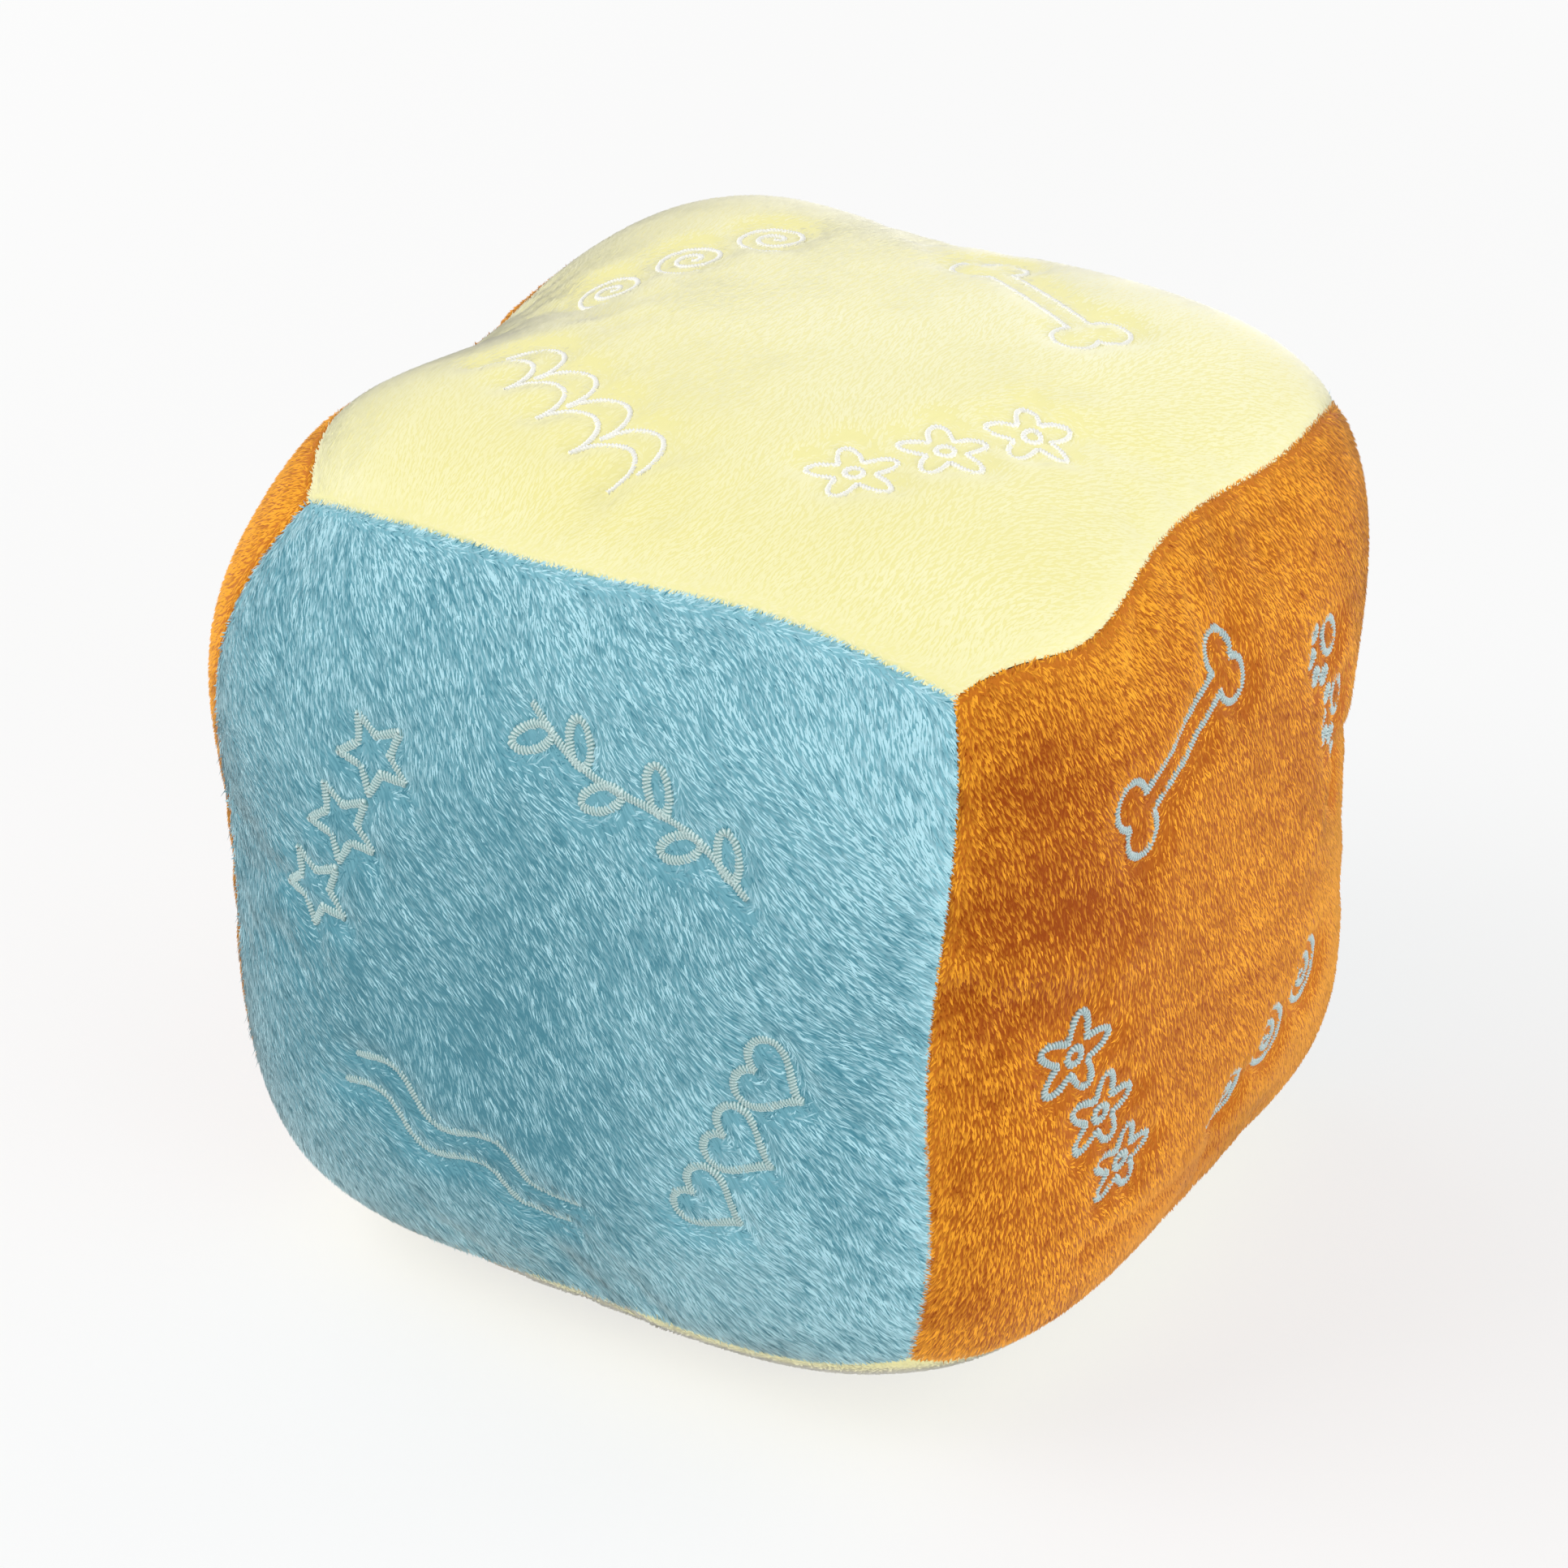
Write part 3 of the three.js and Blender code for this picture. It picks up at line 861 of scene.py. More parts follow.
@dataclass
class PlushPanel:
    """One sewn panel: its knitted skin with the turned-in allowance, its pile and its embroidery.

    Sizes are in mm. Turn_in and turn_back are the rows of points on the allowance's two sides, as shares of
    its depth. The shades run from 0, the colour of the tufts' roots, to 1, that of their tips.
    """

    side: Side
    form: ToyForm
    swell: Swell
    plush: Plush
    motifs: tuple[MotifPlace, ...]
    wear: Wear
    seed: int
    habit: PileHabit = PileHabit()
    count: int = 89
    crowd: float = 0.18
    gap: float = 0.05
    roll: float = 0.3
    pile_depth: float = 0.4
    thick: float = 1.2
    allowance_end: float = 10.0
    turn_in: tuple[float, ...] = (0.35, 0.7, 1.0)
    turn_back: tuple[float, ...] = (1.0, 0.6, 0.25)
    skin_above_floor: float = 0.05
    pile_above_floor: float = 0.02
    flat_cut: float = 128.0
    tufts: int = 49000
    middle_shade: float = 0.5
    # How far the ground is painted towards the roots' painted shade.
    ground_fade: float = 0.6
    seam_thin: float = 0.55
    stitch_thin: float = 0.25
    chart_lines: int = 401
    dent: float = 1.5
    dent_reach: float = 1.8
    stitch_pitch: float = 0.5
    stitch_rise: float = 0.5
    stitch_root: float = 0.5
    stitch_uneven: float = 0.08

    def __post_init__(self) -> None:
        """Lay the motifs' lines on the cloth and work out the panel's surface on its grid."""
        self.chart = np.linspace(-self.form.cloth_half, self.form.cloth_half, self.chart_lines)
        self.stitch_chart = self.chart_stitches()
        self.stations = self.spread(self.gap)
        self.skin, self.smooth_normal, self.depth = self.surface(self.stations, 0.0)
        along_y, self.along_x = (np.gradient(self.skin, self.stations, axis=k, edge_order=2) for k in (0, 1))
        self.normal = unit(np.cross(self.along_x, along_y))

    def spread(self, inset: float) -> Array:
        """Give the grid's stations across the cloth: closer towards the seams, by t (1 + c - c t^2).

        Args:
            inset: Distance of the last station from the seam line, mm.

        Returns:
            Cloth coordinates in mm.
        """
        t = np.linspace(-1, 1, self.count)
        return (self.form.cloth_half - inset) * t * (1 + self.crowd - self.crowd * t * t)

    def chart_stitches(self) -> Array:
        """Chart the distance to the nearest line of stitches over the whole panel.

        Returns:
            Distances in mm on the chart's square grid.
        """
        needle = np.concatenate([line for place in self.motifs for line in place.lines(self.stitch_pitch)])
        square = np.full((len(self.chart), len(self.chart)), np.inf)
        for x, y in needle:
            square = np.minimum(square, (self.chart - x) ** 2 + (self.chart[:, None] - y) ** 2)
        return np.sqrt(square)

    def to_stitches(self, x: Array, y: Array) -> Array:
        """Read the distance to the nearest line of stitches off the chart, mm."""
        read = self.sample(self.stitch_chart[..., None], self.chart, x.reshape(-1), y.reshape(-1))
        return read.reshape(x.shape)

    def off_edge(self, x: Array, y: Array) -> Array:
        """Give the distance from the edge of the nearest stitches, mm, below 0 under them."""
        return self.to_stitches(x, y) - self.plush.stitch_width / 2

    def from_seam(self, x: Array, y: Array) -> Array:
        """Give the distance from the nearest seam along the cloth, mm."""
        return self.form.cloth_half - np.maximum(np.abs(x), np.abs(y))

    def below(self, x: Array, y: Array) -> Array:
        """Work out how far the skin lies below the tips of the pile.

        The skin rolls into each seam on a quarter circle, stitches draw it in, and folds raise or sink it.

        Args:
            x: Cloth coordinate across, mm.
            y: Cloth coordinate up, mm.

        Returns:
            Depth in mm.
        """
        depth = np.full(x.shape, self.pile_depth)
        for place in (x, y):
            into = np.clip(self.roll + self.gap - (self.form.cloth_half - np.abs(place)), 0, self.roll)
            depth += self.roll - np.sqrt(self.roll ** 2 - into ** 2)
        return depth + self.dent * bell(self.to_stitches(x, y), self.dent_reach) - self.wear.height(x, y)

    def surface(self, stations: Array, extra: float) -> tuple[Array, Array, Array]:
        """Work out the skin on a grid: the swollen toy's surface, moved in along its normal by its depth.

        Args:
            stations: Cloth coordinates of the grid's lines, both ways, mm.
            extra: Further depth, mm.

        Returns:
            Points, the normals of the surface without roll or dents, and the depths.
        """
        units = self.form.units(stations)
        u, v = np.meshgrid(units, units)
        top, _ = self.form.surface(self.side.direction(u, v))
        top = top + self.swell.move(self.side, stations)
        top[..., 2] = np.maximum(top[..., 2], 0)
        along_y, along_x = (np.gradient(top, stations, axis=k, edge_order=2) for k in (0, 1))
        normal = unit(np.cross(along_x, along_y))
        x, y = np.meshgrid(stations, stations)
        depth = self.below(x, y) + extra
        return top - normal * depth[..., None], normal, depth

    @staticmethod
    def sample(values: Array, stations: Array, x: Array, y: Array) -> Array:
        """Read a grid of values between its stations, bilinearly.

        Args:
            values: Grid of vectors, (rows, columns, n).
            stations: Cloth coordinates of the grid's lines, both ways, mm.
            x: Cloth coordinate across, mm.
            y: Cloth coordinate up, mm.

        Returns:
            Vectors at the places, (places, n).
        """
        last = len(stations) - 2
        i, j = (np.clip(np.searchsorted(stations, place) - 1, 0, last) for place in (x, y))
        fx = ((x - stations[i]) / (stations[i + 1] - stations[i]))[:, None]
        fy = ((y - stations[j]) / (stations[j + 1] - stations[j]))[:, None]
        low = values[j, i] * (1 - fx) + values[j, i + 1] * fx
        high = values[j + 1, i] * (1 - fx) + values[j + 1, i + 1] * fx
        return low * (1 - fy) + high * fy

    def on_skin(self, values: Array, x: Array, y: Array) -> Array:
        """Read one of the skin's grids at places on the cloth."""
        return self.sample(values, self.stations, x, y)

    def border(self) -> Array:
        """List the point numbers round the grid, counter-clockwise."""
        line, count = np.arange(self.count - 1), self.count
        return np.concatenate([line, line * count + count - 1, count * count - 1 - line,
                               (count - 1 - line) * count])

    def build_skin(self) -> bpy.types.Object:
        """Make the knitted skin as a closed sheet: face, seam rolls, turned-in allowance and back.

        Returns:
            The skin.
        """
        ring, square = self.border(), self.count ** 2
        back, back_normal, back_depth = self.surface(self.spread(self.gap + self.thick), self.thick)
        sides = [(self.skin, self.smooth_normal, self.depth, self.turn_in),
                 (back, back_normal, back_depth, self.turn_back)]
        loops = []
        for points, normal, depth, shares in sides:
            rim, inward = points.reshape(-1, 3)[ring], -normal.reshape(-1, 3)[ring]
            drop = self.allowance_end - depth.reshape(-1)[ring]
            loops += [rim + inward * (drop * share)[:, None] for share in shares]
        points = np.concatenate([self.skin.reshape(-1, 3), back.reshape(-1, 3), *loops])
        points[:, 2] = np.maximum(points[:, 2], self.skin_above_floor)
        bands = [2 * square + len(ring) * k + np.arange(len(ring)) for k in range(len(loops))]
        numbers = [ring, *bands, square + ring]
        walls = [np.stack([np.roll(upper, -1), upper, lower, np.roll(lower, -1)], -1)
                 for upper, lower in zip(numbers, numbers[1:])]
        quads = grid_faces(self.count, self.count)
        x, y = np.meshgrid(self.stations, self.stations)
        flat = np.stack([x, y, np.zeros_like(x)], -1).reshape(-1, 3)
        cloth = np.concatenate([flat, flat] + [flat[ring]] * len(loops))
        # The ground's shade: painted darker between the tufts.
        shade = self.ground(cloth[:, 0], cloth[:, 1])
        skin = mesh_object(f"plush_skin_{self.side.word}", points, [quads, quads[:, ::-1] + square, *walls],
                           {"cloth": cloth, "shade": shade})
        finish = self.plush.finish
        add_piece(skin, finish.backing(self.plush.cut), f"panel_{self.side.word}")
        return skin

    def ground(self, x: Array, y: Array) -> Array:
        """Give the shade of the ground: painted as dark as the tufts' lower parts, a painted shade between
        the tufts, and lighter where the pile is thin.

        The material's streaks add half their height on average, so that much comes off here.

        Args:
            x: Cloth coordinate across, mm.
            y: Cloth coordinate up, mm.

        Returns:
            Shades without the streaks.
        """
        cut = self.plush.cut
        thin = self.seam_thin * bell(self.from_seam(x, y), self.habit.splay)
        thin += self.stitch_thin * bell(self.to_stitches(x, y), self.habit.splay)
        deep = self.ground_fade * cut.fade * self.wear.roughness(x, y)
        return self.middle_shade + self.patches(x, y) + thin - deep - cut.ground_streak / 2

    def nap(self, x: Array, y: Array) -> Array:
        """Give the direction in which the pile lies, in radians: the brushed nap, with slow swirls.

        Args:
            x: Cloth coordinate across, mm.
            y: Cloth coordinate up, mm.

        Returns:
            Angles from across.
        """
        slow, fast = self.habit.swirls
        swirl = smooth_noise(x, y, slow, self.seed) + 0.5 * smooth_noise(x, y, fast, self.seed + 1)
        return np.radians(self.plush.cut.nap_deg + self.plush.cut.swirl_deg * swirl)

    def patches(self, x: Array, y: Array) -> Array:
        """Give the slow light and dark of the pile: its own uneven colour as noise over some centimetres, and
        the painted light and shade of the patches and folds.

        Args:
            x: Cloth coordinate across, mm.
            y: Cloth coordinate up, mm.

        Returns:
            Shades from about -0.5 to 0.5.
        """
        large, small = self.habit.patches
        slow = 0.7 * smooth_noise(x, y, large, self.seed + 5) + 0.3 * smooth_noise(x, y, small, self.seed + 6)
        return self.plush.cut.patch_share * slow + self.wear.tone(x, y)

    def streaks(self, x: Array, y: Array) -> Array:
        """Give the tufts' light and dark: noise stretched along the nap, rows across it, and their own grain.

        Args:
            x: Cloth coordinate across, mm.
            y: Cloth coordinate up, mm.

        Returns:
            Shades from about -0.5 to 0.5.
        """
        cut, habit = self.plush.cut, self.habit
        along, across = cut.turn(x, y)
        across = across + habit.bend * smooth_noise(x, y, habit.swirls[0], self.seed)
        fine, long = cut.streak
        streak = smooth_noise(along * fine / long, across, fine, self.seed + 3)
        rows = smooth_noise(along, across / habit.row_stretch, habit.row_pitch, self.seed + 8)
        grain = np.random.default_rng(self.seed + 7).normal(0, 0.5, x.size)
        return cut.streak_share * streak + cut.row_share * rows + cut.grain_share * grain

    def bundles(self, x: Array, y: Array) -> tuple[Array, Array, Array]:
        """Find each tuft's bundle: the nearest middle of a lattice in rows across the nap, laid like bricks.

        Args:
            x: Cloth coordinate across, mm.
            y: Cloth coordinate up, mm.

        Returns:
            The middle's two coordinates and the bundle's own random mark from -1 to 1.
        """
        size, cut = 256, self.plush.cut
        stray = np.random.default_rng(self.seed + 9).uniform(-0.5, 0.5, (3, size, size))
        long, wide = cut.bundle
        along, across = cut.turn(x, y)
        best, found = np.full(x.size, np.inf), np.zeros((3, x.size))
        for step in range(9):
            row = np.floor(along / long).astype(int) + step // 3 - 1
            shift = 0.5 * (row % 2)
            column = np.floor(across / wide - shift).astype(int) + step % 3 - 1
            astray = stray[:, row % size, column % size]
            middle_along = (row + 0.5 + cut.loose * astray[0]) * long
            middle_across = (column + 0.5 + shift + cut.loose * astray[1]) * wide
            distance = (middle_along - along) ** 2 + (middle_across - across) ** 2
            nearer = distance < best
            best = np.where(nearer, distance, best)
            found = np.where(nearer, [middle_along, middle_across, 2 * astray[2]], found)
        return (*cut.turn_back(found[0], found[1]), found[2])

    def off_stitches(self, x: Array, y: Array) -> Array:
        """Give the direction away from the nearest stitch: the slope of the chart.

        Args:
            x: Cloth coordinate across, mm.
            y: Cloth coordinate up, mm.

        Returns:
            Unit vectors on the cloth, (places, 2).
        """
        up, across = np.gradient(self.stitch_chart, self.chart, self.chart)
        return unit(self.sample(np.stack([across, up], -1), self.chart, x, y) + 1e-6)

    def sow(self, random: np.random.Generator) -> tuple[Array, Array]:
        """Set the roots of the tufts: a shaken grid, closer towards the seams by t (1 + c - c t^8).

        A tuft that would stand under a stitch comes out on its far side, where the pile parts.

        Args:
            random: The panel's random numbers.

        Returns:
            Cloth coordinates across and up, mm.
        """
        habit, across = self.habit, int(np.sqrt(self.tufts))
        limit = self.form.cloth_half - self.gap - habit.seam_clear
        cell = (np.arange(across) + 0.5) / across * 2 - 1
        x, y = (grid.reshape(-1) for grid in np.meshgrid(cell, cell))
        x, y = (line + random.uniform(-1, 1, line.size) / across for line in (x, y))
        x, y = (limit * line * (1 + habit.crowd - habit.crowd * line ** 8) for line in (x, y))
        aside = self.plush.stitch_width + random.uniform(*habit.push_out, x.size)
        push = np.where(self.off_edge(x, y) < 0, aside, 0)
        nap = self.nap(x, y)
        return x + push * np.cos(nap), y + push * np.sin(nap)

    def lean(self, x: Array, y: Array, random: np.random.Generator) -> Array:
        """Give each tuft's own direction: the nap's, a little astray, and splayed to a near seam or stitch.

        Args:
            x: Cloth coordinate across, mm.
            y: Cloth coordinate up, mm.
            random: The panel's random numbers.

        Returns:
            Angles from across, in radians.
        """
        habit = self.habit
        nap = self.nap(x, y) + random.normal(0, habit.astray, x.size)
        away = self.off_stitches(x, y)
        to_stitch = np.clip(1 - self.off_edge(x, y) / habit.splay, 0, 1)
        from_seams = self.form.cloth_half - np.stack([np.abs(x), np.abs(y)])
        to_seam = np.clip(1 - from_seams / habit.splay, 0, 1) * np.sign([x, y])
        share = random.uniform(0, habit.splay_most, x.size)
        east = np.cos(nap) + share * (to_seam[0] - to_stitch * away[:, 0])
        north = np.sin(nap) + share * (to_seam[1] - to_stitch * away[:, 1])
        return np.arctan2(north, east)

    def comb(self, x: Array, y: Array, random: np.random.Generator) -> tuple[Array, Array, Array, Array]:
        """Lay the tufts: low beside the stitches, upright in a seam, with the tips of a bundle together.

        Args:
            x: Cloth coordinate across, mm.
            y: Cloth coordinate up, mm.
            random: The panel's random numbers.

        Returns:
            How far a tuft runs across, up and out, mm, and its bundle's mark.
        """
        cut, habit = self.plush.cut, self.habit
        centre_x, centre_y, mark = self.bundles(x, y)
        clear = np.clip(self.off_edge(x, y) / habit.low_reach, 0, 1)
        length = cut.length * random.uniform(*habit.lengths, x.size)
        rise = cut.rise * random.uniform(*habit.rises, x.size) * (habit.low + (1 - habit.low) * clear)
        rise += habit.seam_fill * np.clip(1 - self.from_seam(x, y) / (self.roll + self.gap), 0, 1)
        length = np.maximum(length, rise * habit.slant)
        lay = np.sqrt(np.maximum(length ** 2 - rise ** 2, habit.least_lay ** 2))
        nap = self.lean(x, y, random)
        run_x = lay * np.cos(nap) + cut.pull * (centre_x - x)
        run_y = lay * np.sin(nap) + cut.pull * (centre_y - y)
        return run_x, run_y, rise, mark

    def trim(self, x: Array, y: Array, run_x: Array, run_y: Array, random: np.random.Generator) -> Array:
        """Tell how much of each tuft is left where the stitches and the seams' far sides cut it short.

        Args:
            x: Cloth coordinate across, mm.
            y: Cloth coordinate up, mm.
            run_x: How far the whole tuft runs across, mm.
            run_y: How far it runs up, mm.
            random: The panel's random numbers.

        Returns:
            Shares of the tufts' lengths, 0 or less where there is no room for a tuft.
        """
        left = np.zeros(x.size)
        over = random.uniform(*self.habit.overlap, x.size)
        for size in self.habit.trims:
            along = [self.off_edge(x + size * share * run_x, y + size * share * run_y)
                     for share in (0, 0.5, 1)]
            left = np.where(np.min(along, axis=0) > -over, size, left)
        edge = self.form.cloth_half + random.uniform(*self.habit.overhang, x.size)
        for place, run in ((x, run_x), (y, run_y)):
            left = np.minimum(left, (edge - np.abs(place)) / np.maximum(np.sign(place) * run, 1e-6))
        return left

    def blades(self, x: Array, y: Array, run: Array, rough: Array, random: np.random.Generator
               ) -> tuple[Array, Array]:
        """Make each tuft a flat tetrahedron: its root, the left and right of its belly, and its tip.

        The shading normals lie between the skin's and each blade's own, because the tufts of the real pile
        are too fine and too many to be shaded one by one.

        Args:
            x: Cloth coordinate across, mm.
            y: Cloth coordinate up, mm.
            run: How far each tuft runs across, up and out, mm, (3, tufts).
            rough: How far its own shape shows in its shading, (tufts, 1).
            random: The panel's random numbers.

        Returns:
            The points and their normals, (tufts, 4, 3).
        """
        cut, habit = self.plush.cut, self.habit
        near = np.clip(1 - self.from_seam(x, y) / habit.upright, 0, 1)[:, None]
        root = self.on_skin(self.skin, x, y)
        out = unit(self.on_skin(self.normal, x, y) * (1 - near) + self.on_skin(self.smooth_normal, x, y))
        east = unit(self.on_skin(self.along_x, x, y))
        north = np.cross(out, east)
        run_x, run_y, rise = run[..., None]
        chord = east * run_x + north * run_y + out * rise
        wide = unit(np.cross(out, chord))
        belly = root + habit.belly * chord + out * (habit.belly_rise * cut.width)
        half = wide * (cut.width * random.uniform(*habit.widths, x.size) / 2)[:, None]
        points = np.stack([root - habit.root_depth * out, belly - half, belly + half, root + chord], 1)
        points[..., 2] = np.maximum(points[..., 2], self.pile_above_floor)
        blade = unit(np.cross(chord, wide))
        facing = unit(out + (blade - out) * (cut.relief * rough))
        turn = wide * (cut.round * rough)
        return points, np.stack([facing, unit(facing - turn), unit(facing + turn), facing], 1)

    def build_pile(self) -> bpy.types.Object:
        """Make the pile as tufts, each a closed blade of four faces, lighter towards its tip.

        Returns:
            The pile.
        """
        cut, habit, finish = self.plush.cut, self.habit, self.plush.finish
        random = np.random.default_rng(self.seed)
        x, y = self.sow(random)
        run_x, run_y, rise, mark = self.comb(x, y, random)
        left = self.trim(x, y, run_x, run_y, random)
        rough = self.wear.roughness(x, y)
        own = self.streaks(x, y) + habit.bundle_tone * cut.streak_share * mark
        # Painted shade on the tufts beside the stitches, in their dent.
        beside = bell(np.maximum(self.off_edge(x, y), 0), habit.parting_reach)
        shade = self.patches(x, y) + rough * own - cut.stitch_shade * beside
        keep = left > 0
        run = np.stack([run_x * left, run_y * left, rise])[:, keep]
        x, y, shade, rough = x[keep], y[keep], shade[keep, None], rough[keep, None]
        points, normals = self.blades(x, y, run, rough, random)
        first = 4 * np.arange(x.size)[:, None]
        faces = np.concatenate([first + corner for corner in ([0, 1, 2], [1, 3, 2], [0, 2, 3], [0, 3, 1])])
        # Painted shade at each tuft's root and painted light at its tip, less where the pile lies flat.
        shades = self.middle_shade + shade + cut.fade * rough * np.array([-1, 0, 0, 1])
        pile = mesh_object(f"plush_pile_{self.side.word}", points.reshape(-1, 3), [faces],
                           {"shade": shades.reshape(-1)}, normals.reshape(-1, 3))
        self.spread_map(pile, faces, x.size)
        # Real fibres are finer and let light through, so tufts don't shade each other as solid blades would.
        # The shade deep in the pile is painted into the roots and the ground instead.
        pile.visible_shadow = False
        pile.visible_diffuse = False
        # The usual offset would start the shadow rays of a blade's underside below the skin.
        pile.shadow_terminator_geometry_offset = 0.0
        add_piece(pile, finish.pile())
        return pile

    @staticmethod
    def spread_map(pile: bpy.types.Object, faces: Array, tufts: int) -> None:
        """Give every tuft a cell of its own in the OFBake map: root below, tip above.

        Args:
            pile: The pile.
            faces: Its faces.
            tufts: How many tufts it has.
        """
        across = int(np.ceil(np.sqrt(tufts)))
        corner = np.array([[0.5, 0.05], [0.05, 0.5], [0.95, 0.5], [0.5, 0.95]])
        cell = np.stack([np.arange(tufts) % across, np.arange(tufts) // across], -1)
        places = ((cell[:, None] + corner) / across).reshape(-1, 2)
        layer = pile.data.uv_layers.new(name="OFBake")
        layer.data.foreach_set("uv", places[faces.reshape(-1)].astype(np.float32).reshape(-1))

    def build_motif(self, number: int) -> bpy.types.Object:
        """Sew one motif: a half-round profile carried along each line, with a ridge for every stitch.

        The ridges slant across the line. Between them the ribbon is half as high and a fifth narrower. The
        profile closes under the pile.

        Args:
            number: Which of the panel's motifs.

        Returns:
            The motif.
        """
        random = np.random.default_rng(self.seed + 40 + number)
        profile = np.array([-1, -0.6, 0, 0.6, 1])
        arch = (1 - profile ** 2) ** 0.4
        around, per_stitch, slant, sink, groove = len(profile) + 1, 4, 0.45, 0.1, 0.22
        points, ridges, faces, start = [], [], [], 0
        for line in self.motifs[number].lines(self.stitch_pitch / per_stitch):
            centre = self.on_skin(self.skin, line[:, 0], line[:, 1])
            out = unit(self.on_skin(self.normal, line[:, 0], line[:, 1]))
            side = unit(np.cross(out, np.gradient(centre, axis=0)))
            place = np.arange(len(line)) / per_stitch
            wide = 1 + self.stitch_uneven * random.normal(0, 1, int(place[-1]) + 2)[place.astype(int)]
            ridge = 0.5 + 0.5 * np.cos(2 * np.pi * (place[:, None] + slant * profile))
            height = self.stitch_rise * (arch * (0.5 + 0.5 * ridge) - sink)
            reach = self.plush.stitch_width / 2 * wide[:, None] * profile * (1 - groove + groove * ridge)
            top = centre[:, None] + side[:, None] * reach[..., None] + out[:, None] * height[..., None]
            ribbon = np.concatenate([top, (centre - self.stitch_root * out)[:, None]], 1)
            points.append(ribbon.reshape(-1, 3))
            # The ridge value also picks the colour: painted highlight on the ribs, painted shade between
            # them.
            ridges.append(np.concatenate([ridge, np.zeros((len(line), 1))], 1).reshape(-1))
            faces.append(grid_faces(len(line), around, closed_columns=True)[:, ::-1] + start)
            ends = start + np.array([np.arange(around), (len(line) - 1) * around + np.arange(around)[::-1]])
            faces.append(ends)
            start += len(line) * around
        motif = mesh_object(f"embroidery_{self.side.word}_{number + 1}", np.concatenate(points), faces,
                            {"ridge": np.concatenate(ridges)})
        add_piece(motif, self.plush.stitch.material())
        return motif

    def build(self) -> None:
        skin, pile = self.build_skin(), self.build_pile()
        motifs = [self.build_motif(number) for number in range(len(self.motifs))]


@dataclass
class SeamThreads:
    """The lockstitch along the twelve seams, and the ladder stitch that closes the last. Sizes are in mm."""

    form: ToyForm
    finish: ThreadFinish
    depth: float = 3.0
    thick: float = 0.8
    sway: float = 0.25
    closing_thick: float = 1.0
    closing_sway: float = 0.6
    corner_end: float = 3.0
    slit: float = 50.0
    slit_end: float = 1.0
    stitch: float = 2.5
    per_stitch: int = 10
    dip: float = 0.2
    ply: float = 0.12
    twist: float = 1.5
    above_floor: float = 0.1
    around: int = 6

    def run(self, first: Side, second: Side, start: float, end: float) -> Array:
        """Follow the seam between two panels, below the rolled edges of the plush.

        Args:
            first: One panel.
            second: The other.
            start: Where the thread starts, as a distance along the cloth from the seam's middle, mm.
            end: Where it ends.

        Returns:
            Points along the seam.
        """
        count = int((end - start) / self.stitch * self.per_stitch) + 1
        along = np.abs(np.cross(first.axes[0], second.axes[0]))
        corner = first.axes[0] + second.axes[0]
        places = self.form.units(np.linspace(start, end, count))
        point, _ = self.form.surface(corner + np.multiply.outer(places, along))
        middle = np.array([0, 0, self.form.half[2] - self.form.settle])
        return point - unit(point - middle) * self.depth

    def build_thread(self, node: str, line: Array, thick: float, sway: float) -> None:
        """Make one thread: a round profile carried along its seam, which crosses it once in every stitch.

        Two plies twist round each other, so the profile's radius goes up and down twice in a turn.

        Args:
            node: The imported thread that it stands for.
            line: Points along the seam.
            thick: The thread's diameter, mm.
            sway: How far it goes to either side of the seam, mm.
        """
        along = unit(np.gradient(line, axis=0))
        out = unit(line - [0, 0, self.form.half[2]])
        side = unit(np.cross(along, out))
        phase = (np.arange(len(line)) * 2 * np.pi / self.per_stitch)[:, None]
        centre = line + side * (sway * np.sin(phase)) + out * (self.dip * np.cos(2 * phase))
        turn = np.arange(self.around) * 2 * np.pi / self.around
        strand = np.cos(2 * (turn + phase * self.twist))
        ring = side[:, None] * np.cos(turn)[:, None] + out[:, None] * np.sin(turn)[:, None]
        points = centre[:, None] + ring * (thick / 2 * (1 + self.ply * strand))[..., None]
        points[..., 2] = np.maximum(points[..., 2], self.above_floor)
        count = len(line)
        faces = grid_faces(count, self.around, closed_columns=True)
        ends = np.array([np.arange(self.around)[::-1], (count - 1) * self.around + np.arange(self.around)])
        # The strands' value also picks the colour: painted highlight on the plies, painted shade between
        # them.
        thread = mesh_object(node.replace("thread", "stitches"), points.reshape(-1, 3), [faces, ends],
                             {"ridge": (0.5 + 0.5 * strand).reshape(-1)})
        add_piece(thread, self.finish.material(), node)

    def build(self) -> None:
        """Make the threads of all seams. The slit in the bottom back seam has the closing thread."""
        end, slit = self.form.cloth_half - self.corner_end, self.slit / 2
        past = slit + self.slit_end
        pairs = [(flat, upright) for flat in (Side.TOP, Side.BOTTOM)
                 for upright in (Side.FRONT, Side.BACK, Side.RIGHT, Side.LEFT)]
        pairs += [(face, upright) for face in (Side.FRONT, Side.BACK) for upright in (Side.RIGHT, Side.LEFT)]
        for first, second in pairs:
            node = f"seam_thread_{first.word}_{second.word}"
            if (first, second) == (Side.BOTTOM, Side.BACK):
                runs = {f"{node}_left": (-end, -past), f"{node}_right": (past, end)}
            else:
                runs = {node: (-end, end)}
            for name, (start, stop) in runs.items():
                self.build_thread(name, self.run(first, second, start, stop), self.thick, self.sway)
        closing = self.run(Side.BOTTOM, Side.BACK, -slit, slit)
        self.build_thread("closing_thread", closing, self.closing_thick, self.closing_sway)


